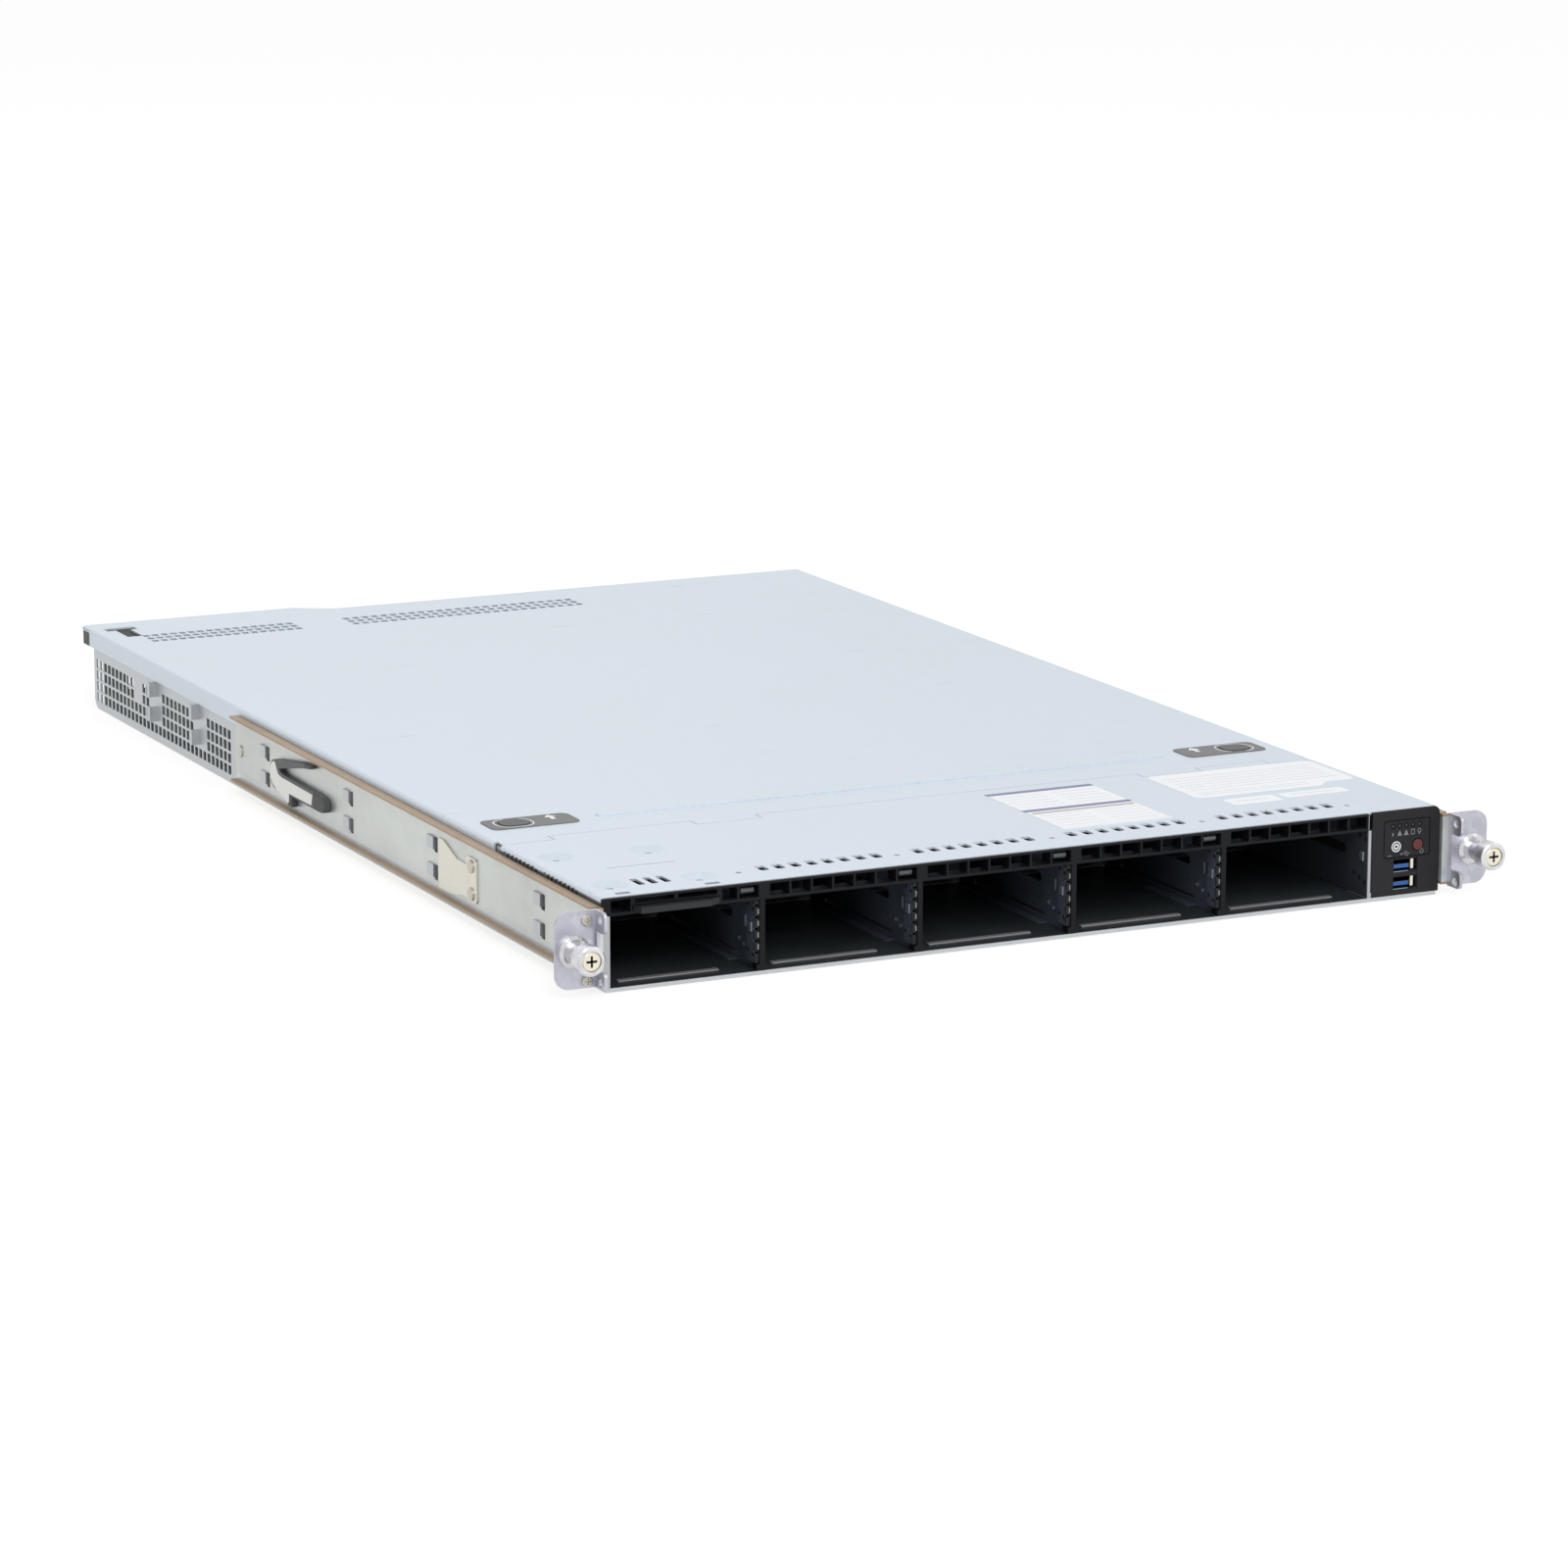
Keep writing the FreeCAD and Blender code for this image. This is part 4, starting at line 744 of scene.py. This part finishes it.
@dataclass
class Covers:
    """The two top covers: latch icons, printed sheets, the trim of the rear left corner and a
    painted shade plate under the key-shaped hole.
    """

    top: float = 43.0
    paper: float = 0.12
    ink: Flat = (43.12, 43.16)
    latch_top: float = 43.4
    latch_ink: Point = (0, 0, 0.06)
    button_x: float = 194.0
    button_y: float = 153.5
    ring_half: Flat = (9.6, 8.6)
    ring_corner: float = 7.4
    ring_line: float = 0.6
    ring_gap: int = 2
    ring_starts: tuple[int, int] = (7, 21)
    arrow_at: Flat = (173.5, 157.5)
    arrow: Outline = ((-1.1, -4.6), (1.1, -4.6), (1.1, 0), (3.0, 0), (0, 4.6), (-3.0, 0),
                      (-1.1, 0))
    chart: Rect = (31.9, 90.4, 33.0, 113.5)
    chart_corner: float = 0.8
    chart_headers: tuple[Rect, ...] = ((32.2, 90.1, 108.6, 113.0), (32.2, 90.1, 70.6, 75.0))
    chart_subheader: Rect = (34.0, 88.6, 65.6, 68.2)
    chart_frame: tuple[Rect, ...] = ((34.0, 88.6, 34.4, 34.7), (32.2, 32.5, 34.0, 108.6),
                                     (89.8, 90.1, 34.0, 108.6))
    notice: Outline = ((121.0, 66.0), (124.0, 63.0), (190.0, 63.0), (196.0, 69.0),
                       (210.0, 69.0), (212.5, 71.5), (212.5, 111.5), (210.0, 114.0),
                       (124.0, 114.0), (121.0, 111.0))
    strips: tuple[Rect, ...] = ((129.5, 157.0, 43.0, 55.0), (160.0, 195.5, 46.5, 55.5))
    strip_corner: float = 1.5
    guard: Box = Box((-216.0, 694.6, 33.0), (-211.0, 705.6, 42.1))
    guard_rib: Box = Box((-216.9, 695.2, 33.4), (-216.0, 696.6, 42.1))
    guard_ribs: int = 4
    guard_pitch: float = 2.7
    # painted shade: a dark plate under the key-shaped hole
    shade_plate: Box = Box((-211.0, 663.0, 41.6), (-191.5, 692.0, 41.85))

    def latch_icons(self) -> None:
        """A pale open ring round each button and an arrow towards the rear."""
        half_x, half_y = self.ring_half
        for (side, name), start in zip(SIDES, self.ring_starts):
            x, y = side * self.button_x, self.button_y
            rect = (x - half_x, x + half_x, y - half_y, y + half_y)
            lines = []
            for inset in (self.ring_line, 0.0):
                line = rounded(rect, self.ring_corner, inset)
                line = (line[start:] + line[:start])[:-self.ring_gap]
                lines.append(on_plane(line, 2, self.latch_top))
            add_piece("latch_ring_" + name, Finish.INK_WHITE,
                      [Band(*lines, self.latch_ink, closed=False)], "lid")
            x, y = side * self.arrow_at[0], self.arrow_at[1]
            arrow = on_plane([(x + a, y + b) for a, b in self.arrow], 2, self.latch_top)
            add_piece("latch_arrow_" + name, Finish.INK_WHITE,
                      [Prism(arrow, self.latch_ink)], "lid")

    def sheet(self, name: str, outline: Sequence[Flat]) -> None:
        """A thin sheet of white paper on the front cover."""
        paper = Prism(on_plane(outline, 2, self.top), (0, 0, self.paper))
        add_piece(name, Finish.PAPER, [paper])

    def bars(self, name: str, finish: Finish, rects: Iterable[Rect]) -> None:
        """Printed bars and rules on the sheets, as thin as ink."""
        bars = [Box((x0, y0, self.ink[0]), (x1, y1, self.ink[1])) for x0, x1, y0, y1 in rects]
        add_piece(name, finish, bars)

    @staticmethod
    def lines(x0: float, x1: float, last: float, pitch: float, count: int,
              thick: float) -> list[Rect]:
        """Rules that stand for lines of print, from the rearmost one forwards."""
        return [(x0, x1, last - pitch * i, last + thick - pitch * i) for i in range(count)]

    def labels(self) -> None:
        """Two main printed sheets and two small ones, with plain bars and rules only."""
        self.sheet("chart_label", rounded(self.chart, self.chart_corner, steps=3))
        self.sheet("notice_label", self.notice)
        for i, strip in enumerate(self.strips, 1):
            self.sheet("strip_label_%d" % i, rounded(strip, self.strip_corner, steps=3))
        self.bars("chart_headers", Finish.INK_BLUE, self.chart_headers)
        self.bars("chart_subheaders", Finish.INK_TAUPE, [self.chart_subheader])
        rules = list(self.chart_frame)
        for x0, x1 in ((35.0, 59.0), (64.0, 87.0)):
            rules += self.lines(x0, x1, 103.0, 5.6, 5, 0.4) + self.lines(x0, x1, 61.0, 5.4, 5, 0.4)
        self.bars("chart_rules", Finish.INK_GREY, rules)
        notes = self.lines(126.0, 207.0, 104.0, 5.2, 6, 0.5)
        notes += self.lines(126.0, 186.0, 71.6, 4.0, 2, 0.5)
        notes += [(134.0, 152.0, 48.6, 49.2), (165.0, 190.0, 50.6, 51.2)]
        self.bars("notice_rules", Finish.INK_GREY, notes)

    def trim(self) -> None:
        """A ribbed guard under the corner, and a dark plate below the key-shaped hole as painted
        shade.
        """
        ribs = [self.guard_rib.moved(y=self.guard_pitch * i) for i in range(self.guard_ribs)]
        add_piece("corner_guard", Finish.LATCH, [self.guard, *ribs], "lid")
        add_piece("key_hole_pocket", Finish.SOCKET, [self.shade_plate], "lid")

    def build(self) -> None:
        """All of it."""
        self.latch_icons()
        self.labels()
        self.trim()


@dataclass
class ControlPanel:
    """Marks and small trim of the control panel."""

    print_push: Point = (0, -0.05, 0)
    inset: Rect = (186.2, 211.9, 19.9, 38.3)
    inset_corner: float = 1.3
    inset_line: float = 0.45
    inset_push: Point = (0, -0.03, 0)
    # painted shade: a dark blue strip for the shaded side face of the panel
    edge_shade: Box = Box((179.3, -0.04, 4.4), (180.0, 0.2, 35.8))
    lights: int = 5
    light_at: Flat = (191.3, 35.4)
    light_pitch: float = 3.65
    light_radii: Flat = (0.75, 1.25)
    button_face: float = -0.3
    closed_start: float = 93.75
    rings: tuple[tuple[str, Finish, Flat, Flat], ...] = (
        ("locate_ring_outer", Finish.INK_WHITE, (193.0, 25.5), (2.05, 2.58)),
        ("locate_ring_inner", Finish.INK_WHITE, (193.0, 25.5), (0.75, 1.4)),
        ("power_rim", Finish.GAP, (205.0, 25.5), (2.75, 3.15)),
        ("power_mark", Finish.INK_DIM, (207.3, 22.0), (0.75, 1.05)),
        ("lamp_mark", Finish.INK_DIM, (205.9, 32.2), (0.7, 1.0)))
    open_arc: Flat = (125.0, 290.0)
    triangle: Outline = ((-1.3, 30.6), (1.3, 30.6), (0, 33.2))
    triangle_x: Flat = (194.95, 198.6)
    marks: tuple[Rect, ...] = (
        (190.9, 191.5, 30.6, 32.3), (201.25, 201.55, 30.9, 32.9), (202.95, 203.25, 30.9, 32.9),
        (201.25, 203.25, 32.9, 33.2), (201.25, 203.25, 30.6, 30.9), (205.5, 206.3, 30.6, 31.1),
        (195.8, 200.8, 21.45, 21.75), (195.6, 196.6, 21.2, 22.0), (197.6, 199.4, 22.4, 22.7),
        (198.4, 200.0, 20.5, 20.8), (207.15, 207.45, 22.6, 23.6), (188.6, 190.8, 21.0, 21.3))
    port_heights: Flat = (7.7, 16.1)
    port_trim: tuple[tuple[str, Finish, Box], ...] = (
        ("tongue", Finish.BLUE, Box((192.9, 1.4, -1.6), (201.2, 1.6, 0.3))),
        ("spring", Finish.SCREW, Box((201.9, 0.9, -2.2), (203.4, 1.6, 2.5))),
        ("edge", Finish.STEEL_LINE, Box((192.2, 0.3, -3.1), (200.2, 0.4, -2.85))))

    def icons(self) -> None:
        """Plain marks: bar, two triangles, can and lamp below the lights, branches by the ports."""
        signs: list[Shape] = [Box((x0, self.print_push[1], z0), (x1, 0.0, z1))
                              for x0, x1, z0, z1 in self.marks]
        for x in self.triangle_x:
            corners = on_plane([(x + a, z) for a, z in self.triangle], 1, 0.0)
            signs.append(Prism(corners, self.print_push))
        add_piece("panel_icons", Finish.INK_DIM, signs)

    def build(self) -> None:
        """Inset line, painted shade on the panel's side edge, rings, icons and the ports' tongues,
        contact springs and edges.
        """
        lines = [on_plane(rounded(self.inset, self.inset_corner, inset), 1, 0.0)
                 for inset in (self.inset_line, 0.0)]
        add_piece("panel_inset", Finish.GAP, [Band(*lines, self.inset_push)])
        # painted shade on the panel's side edge
        add_piece("panel_joint", Finish.EDGE_SHADE_BLUE, [self.edge_shade])
        for i in range(self.lights):
            centre = (self.light_at[0] + self.light_pitch * i, self.light_at[1])
            rim = front_ring(centre, self.light_radii, 0.0, self.print_push[1], self.closed_start)
            add_piece("light_rim_%d" % (i + 1), Finish.GAP, [rim])
        for name, finish, centre, radii in self.rings:
            moves = name.startswith("locate")
            turn = self.open_arc if name == "power_mark" else (self.closed_start, CLOSED_SWEEP)
            ring = front_ring(centre, radii, self.button_face if moves else 0.0,
                              self.print_push[1], *turn)
            add_piece(name, finish, [ring], "locate" if moves else "chassis")
        self.icons()
        for index, height in enumerate(self.port_heights, 1):
            for name, finish, box in self.port_trim:
                add_piece("port_%s_%d" % (name, index), finish, [box.moved(z=height)])


@dataclass
class DriveCage:
    """Small hardware at the mouths of the bays, and painted shade in holes and a groove; the
    dividers' parts are placed from each one.
    """

    blocks: Lattice
    studs: Lattice
    dividers: tuple[float, ...] = (-139.0, -59.7, 19.6, 98.9)
    fingers: Rows = Rows((-1.35, 0.92, 12.8), (0.5, 0.16, 2.4), (4, (0.0, 0.0, 5.4)))
    catch: Box = Box((-3.6, 3.8, 19.2), (-3.0, 7.2, 23.6))
    # painted shade: dark discs where the strip holes are
    strip_hole_shades: tuple[tuple[str, Rows], ...] = (
        ("upper", Rows((-3.02, 3.2, 30.0), (1.8, 1.8, 0.1), (2, (0.0, 4.6, 1.3)))),
        ("lower", Rows((-3.02, 3.2, 9.0), (1.8, 1.8, 0.1), (2, (0.0, 4.6, 1.5)))))
    wall_studs: Rows = Rows((-0.62, 27.0, 27.4), (1.3, 1.3, 0.3), (4, (0.0, 17.0, 0.0)),
                            (2, (0.0, 4.0, -14.6)))
    wall: float = 177.8
    skin: Box = Box((177.77, 0.8, 2.2), (177.8, 108.0, 34.4))
    groove_front: Flat = (22.3, 22.0)
    groove_half: float = 2.3
    groove_end: float = 106.0
    groove_push: Point = (-0.06, 0, 0)
    wall_catch: Box = Box((177.1, 3.6, 19.2), (177.8, 6.8, 23.6))
    # painted shade: dark discs where the wall holes are
    wall_hole_shades: tuple[tuple[str, Rows], ...] = (
        ("upper", Rows((177.77, 2.6, 30.0), (2.3, 2.3, 0.1), (3, (0.0, 4.8, 1.344)))),
        ("lower", Rows((177.77, 2.6, 9.0), (2.3, 2.3, 0.1), (3, (0.0, 4.8, 1.536)))))

    def side_wall(self) -> None:
        """Skin, a painted shade shape for the groove with a round front end, catch, and painted
        shade in the holes of the cage's right wall.
        """
        (y, z), half, end = self.groove_front, self.groove_half, self.groove_end
        groove = arc((y, z), half, 90, 180, 8) + [(end, z - half), (end, z + half)]
        add_piece("wall_skin", Finish.WALL, [self.skin])
        groove = on_plane(groove, 0, self.wall)
        # painted shade: a dark shape on the wall where the groove is
        add_piece("wall_groove_shade", Finish.SOCKET, [Prism(groove, self.groove_push)])
        add_piece("drive_catch_5", Finish.STEEL_LINE, [self.wall_catch], bevel=0.3)
        for name, rows in self.wall_hole_shades:
            self.studs.lay("wall_hole_shades_" + name, Finish.SOCKET, rows)

    def build(self) -> None:
        """Fingers, catch, painted shade in the strip holes, and studs of each divider, then the
        right wall.
        """
        for i, x in enumerate(self.dividers, 1):
            self.blocks.lay("finger_tips_%d" % i, Finish.FINGER, self.fingers, x)
            add_piece("drive_catch_%d" % i, Finish.STEEL_LINE, [self.catch.moved(x)], bevel=0.15)
            for name, rows in self.strip_hole_shades:
                self.studs.lay("strip_holes_%s_%d" % (name, i), Finish.SOCKET, rows, x)
            self.studs.lay("wall_studs_%d" % i, Finish.CLIP, self.wall_studs, x)
        self.side_wall()


@dataclass
class Fixings:
    """Painted shade in the cross recesses of the captive screws, and the steel plates of the rail
    levers.
    """

    screw_x: float = 232.55
    screw_z: float = 21.5
    # painted shade: dark bars at the bottom of each cross recess
    recess_shade_bars: tuple[Box, ...] = (Box((-2.58, -23.58, -0.53), (2.58, -22.6, 0.53)),
                                    Box((-0.53, -23.58, -2.58), (0.53, -22.6, 2.58)))
    lever_face: float = 221.9
    plate: Outline = ((395.0, 28.2), (398.6, 26.8), (400.8, 24.4), (401.4, 21.6),
                      (400.4, 18.4), (396.6, 15.6), (376.6, 10.0), (374.8, 11.0),
                      (374.4, 15.4), (343.4, 15.6), (341.8, 21.4), (384.3, 21.8),
                      (389.2, 22.6), (391.6, 25.0), (393.4, 27.6))
    nose: Outline = ((340.0, 14.6), (331.2, 14.6), (327.6, 15.2), (325.4, 17.0),
                     (325.2, 19.6), (326.7, 21.4), (330.2, 22.2), (340.6, 22.5))
    tip: Outline = ((352.0, 34.7), (344.1, 35.1), (343.2, 34.6), (344.6, 33.8),
                    (352.6, 32.9))
    hook: Outline = ((375.4, 9.2), (371.2, 9.2), (371.2, 14.3), (374.2, 14.3))

    def build(self) -> None:
        """Painted shade in the recess of each screw, and plate, nose, tip and hook of each lever.
        """
        plates = (("plate", Finish.LEVER_PLATE, self.plate, 0.25, 0.08),
                  ("nose", Finish.NOSE, self.nose, 0.15, 0.0),
                  ("tip", Finish.NOSE, self.tip, 0.1, 0.0),
                  ("hook", Finish.NOSE, self.hook, 0.1, 0.0))
        for side, name in SIDES:
            bars = [bar.moved(side * self.screw_x, 0.0, self.screw_z) for bar in self.recess_shade_bars]
            # painted shade in the cross recess
            add_piece("recess_" + name, Finish.SOCKET, bars, "thumbscrew_" + name)
            for part, finish, outline, thick, bevel in plates:
                solid = Prism(on_plane(outline, 0, side * self.lever_face), (side * thick, 0, 0))
                add_piece("lever_%s_%s" % (part, name), finish, [solid], "lever_" + name, bevel)


@dataclass
class Rear:
    """Fan grilles and painted shade in the vent slots of the supplies, and the linings of the rear
    sockets.
    """

    blocks: Lattice
    supplies: tuple[float, ...] = (63.0, 139.0)
    face: float = 680.0
    fan_x: float = 19.5
    fan_z: float = 21.2
    wire_radii: tuple[float, ...] = (5.6, 9.4, 13.2, 17.0)
    wire_half: float = 0.35
    wire_reach: float = 17.2
    # painted shade: dark patches where the vent slots are
    vent_shades: Rows = Rows((47.0, 680.02, 6.0), (1.6, 0.1, 3.6), (8, (2.9, 0, 0)))
    network: tuple[float, ...] = (-46.0, -26.0, 22.0)
    lining_back: Box = Box((-5.9, 664.0, 10.4), (5.9, 664.4, 18.8))
    lining_sides: tuple[Box, ...] = (Box((-5.9, 664.0, 10.4), (-5.6, 678.0, 18.8)),
                                     Box((5.9, 664.0, 10.4), (5.6, 678.0, 18.8)))
    contacts: Rows = Rows((-3.55, 664.9, 16.6), (0.45, 1.0, 3.0), (8, (1.015, 0, 0)))
    tongues: tuple[Box, ...] = (Box((-3.0, 677.0, 10.5), (7.0, 677.15, 12.3)),
                                Box((-3.0, 677.0, 18.5), (7.0, 677.15, 20.3)))
    insulator: Box = Box((35.2, 672.0, 11.6), (48.8, 680.5, 15.8))
    pins: Rows = Rows((37.4, 680.5, 12.5), (0.8, 0.12, 0.8), (5, (2.3, 0, 0)), (3, (0, 0, 1.2)))

    def grille(self, x: float) -> list[Shape]:
        """Rings and crossed wires over a fan.

        Args:
            x: the fan's middle.

        Returns:
            Their shapes.
        """
        wires: list[Shape] = [
            front_ring((x, self.fan_z), (radius - self.wire_half, radius + self.wire_half),
                       self.face, 0.7) for radius in self.wire_radii]
        centre = Vector((x, self.face + 0.1, self.fan_z))
        for turn in (45, 135):
            angle = math.radians(turn)
            along = Vector((math.cos(angle), 0, math.sin(angle)))
            beside = Vector((-along.z, 0, along.x)) * self.wire_half
            reach = along * self.wire_reach
            wires.append(Prism([centre - reach - beside, centre + reach - beside,
                                centre + reach + beside, centre - reach + beside], (0, 0.5, 0)))
        return wires

    def sockets(self) -> None:
        """Dark linings, gilt contacts and blue tongues."""
        linings = [box.moved(x) for x in self.network for box in (self.lining_back,
                                                                  *self.lining_sides)]
        add_piece("network_linings", Finish.SOCKET, linings)
        add_piece("data_tongues", Finish.BLUE, self.tongues)
        add_piece("display_insulator", Finish.BLUE, [self.insulator])
        for i, x in enumerate(self.network, 1):
            self.blocks.lay("network_contacts_%d" % i, Finish.SCREW, self.contacts, x)
        self.blocks.lay("display_pins", Finish.SOCKET, self.pins)

    def build(self) -> None:
        """Grille and painted shade in the vent slots of each supply, then the sockets."""
        for i, left in enumerate(self.supplies, 1):
            body = "supply_%d" % i
            add_piece("fan_grille_%d" % i, Finish.PLAIN, self.grille(left + self.fan_x), body)
            self.blocks.lay("supply_vents_%d" % i, Finish.SOCKET, self.vent_shades, left, body)
        self.sockets()


@dataclass
class Memory:
    """Chips on the four groups of memory modules."""

    blocks: Lattice
    middles: tuple[float, ...] = (-178.0, -30.0, 30.0, 178.0)
    chips: Rows = Rows((-13.0, 292.0, 26.0), (0.9, 9.0, 11.0), (4, (10.0, 0, 0)), (9, (0, 14.0, 0)))

    def build(self) -> None:
        """All of them."""
        for i, middle in enumerate(self.middles, 1):
            self.blocks.lay("memory_chips_%d" % i, Finish.SOCKET, self.chips, middle)


@dataclass
class Studio:
    """Floor, light and camera; sizes in metres, turns in radians and lamps in watts."""

    focal: float = 128.063
    eye: Point = (-1.18407, -2.52549, 0.62453)
    yaw: float = 0.450287
    pitch: float = 0.218258
    roll: float = 0.001308
    floor_size: float = 60.0
    floor_level: float = -0.0006
    floor_tone: Colour = (0.86, 0.86, 0.86)
    floor_glow: float = 1.25
    floor_share: float = 0.62
    dim: float = 0.62
    aim: Point = (0.0, 0.0, 0.02)
    lamps: tuple[tuple[str, Point, float, float], ...] = (
        ("key", (-0.5, -2.3, 1.7), 1.8, 34.0), ("fill", (2.0, -1.8, 1.6), 2.2, 12.0),
        ("rim", (0.4, 2.8, 2.0), 2.2, 4.0))

    def camera(self) -> None:
        """The camera at the measured place."""
        data = bpy.data.cameras.new("camera")
        data.lens = self.focal
        thing = new_object("camera", data)
        level = math.cos(self.pitch)
        forward = Vector((math.sin(self.yaw) * level, math.cos(self.yaw) * level,
                          -math.sin(self.pitch)))
        right = Vector((math.cos(self.yaw), -math.sin(self.yaw), 0.0))
        up = right.cross(forward)
        right, up = (right * math.cos(self.roll) + up * math.sin(self.roll),
                     up * math.cos(self.roll) - right * math.sin(self.roll))
        turn = Matrix((right, up, -forward)).transposed().to_4x4()
        thing.matrix_world = Matrix.Translation(self.eye) @ turn
        bpy.context.scene.camera = thing

    def floor(self) -> None:
        """A wide pale floor just below the server, which keeps the server's shadow."""
        bpy.ops.mesh.primitive_plane_add(size=self.floor_size, location=(0, 0, self.floor_level))
        plane = bpy.context.object
        plane.name = "floor"
        shader = Shader()
        shader.material.name = "floor_white"
        shader.set(Base_Color=self.floor_tone, Roughness=0.9, Specular_IOR_Level=0.0)
        matt = Socket(shader, shader.surface.outputs[0])
        glow = shader.node("ShaderNodeEmission",
                           inputs={"Color": PLAIN_WHITE, "Strength": self.floor_glow})
        mixed = shader.node("ShaderNodeMixShader",
                            inputs={0: shader.seen() * self.floor_share, 1: matt, 2: glow})
        shader.feed(shader.tree.nodes["Material Output"].inputs["Surface"], mixed)
        plane.data.materials.append(shader.material)

    def world(self) -> None:
        """Plain white surroundings, dimmer as light than as background."""
        world = bpy.data.worlds.new("studio")
        bpy.context.scene.world = world
        world.use_nodes = True
        nodes = Nodes(world.node_tree)
        background = nodes.tree.nodes["Background"].inputs
        nodes.feed(background["Color"], PLAIN_WHITE)
        nodes.feed(background["Strength"], nodes.seen().ramp(0.0, 1.0, self.dim, 1.0))

    def lights(self) -> None:
        """Soft square lamps aimed at the server's middle."""
        for name, place, size, power in self.lamps:
            data = bpy.data.lights.new(name, "AREA")
            data.size = size
            data.energy = power
            turn = (Vector(self.aim) - Vector(place)).to_track_quat("-Z", "Y").to_matrix().to_4x4()
            new_object(name, data).matrix_world = Matrix.Translation(place) @ turn

    def build(self) -> None:
        """All of it."""
        bpy.context.scene.view_settings.view_transform = "Standard"
        self.camera()
        self.floor()
        self.world()
        self.lights()


@dataclass
class Dressing:
    """Gives every CAD node its finish, by the word that its name starts with."""

    nodes: dict[str, bpy.types.Object]
    words: tuple[tuple[Finish, str], ...] = (
        (Finish.TRAY, "chassis_tray rear_panel fan_wall"), (Finish.COVER, "front_cover top_cover"),
        (Finish.PLAIN, "psu_bay slot_covers rail_hooks rear_ports"), (Finish.SUPPLY, "psu_case"),
        (Finish.LATCH, "latch_frames"), (Finish.BUTTON, "latch_button"),
        (Finish.CAGE, "drive_cage"), (Finish.DIVIDER, "bay_divider"),
        (Finish.CLIP, "divider_clips"), (Finish.BEZEL, "bezel_frame"), (Finish.TAG, "info_tag"),
        (Finish.PANEL, "control_panel locate_button"), (Finish.RED_BUTTON, "power_button"),
        (Finish.LENS, "light_pipes"), (Finish.BOARD, "panel_board motherboard memory_modules"),
        (Finish.SOCKET, "usb_ports screw_washer drive_sockets air_shroud"),
        (Finish.FIXING, "ear_screws rail_rivets"), (Finish.EAR, "ear"),
        (Finish.CHROME, "ferrules"), (Finish.KNOB, "thumb_knob"), (Finish.SCREW, "captive_screw"),
        (Finish.LEVER, "rail_lever psu_latch"), (Finish.RAIL, "rail"),
        (Finish.LEAF, "leaf_catches"), (Finish.SHADED_BOARD, "backplane"),
        (Finish.ALUMINIUM, "heatsinks"), (Finish.FAN, "fan_frames fan_rotor psu_rotor"))

    def build(self) -> None:
        """Dresses all nodes, each by the longest word that fits it."""
        finishes = {word: finish for finish, words in self.words for word in words.split()}
        for name, thing in self.nodes.items():
            word = max(filter(name.startswith, finishes), key=len)
            for slot in thing.material_slots:
                slot.material = material_of(finishes[word])
            LOG.info("dressed %s", name)


def main() -> None:
    """Builds the scene in order."""
    logging.basicConfig(level=logging.INFO)
    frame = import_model()
    Dressing(frame["nodes"]).build()
    blocks = Lattice(studs=False)
    studs = Lattice(studs=True)
    Covers().build()
    ControlPanel().build()
    DriveCage(blocks, studs).build()
    Fixings().build()
    Rear(blocks).build()
    Memory(blocks).build()
    Studio().build()


if __name__ == "__main__":
    main()
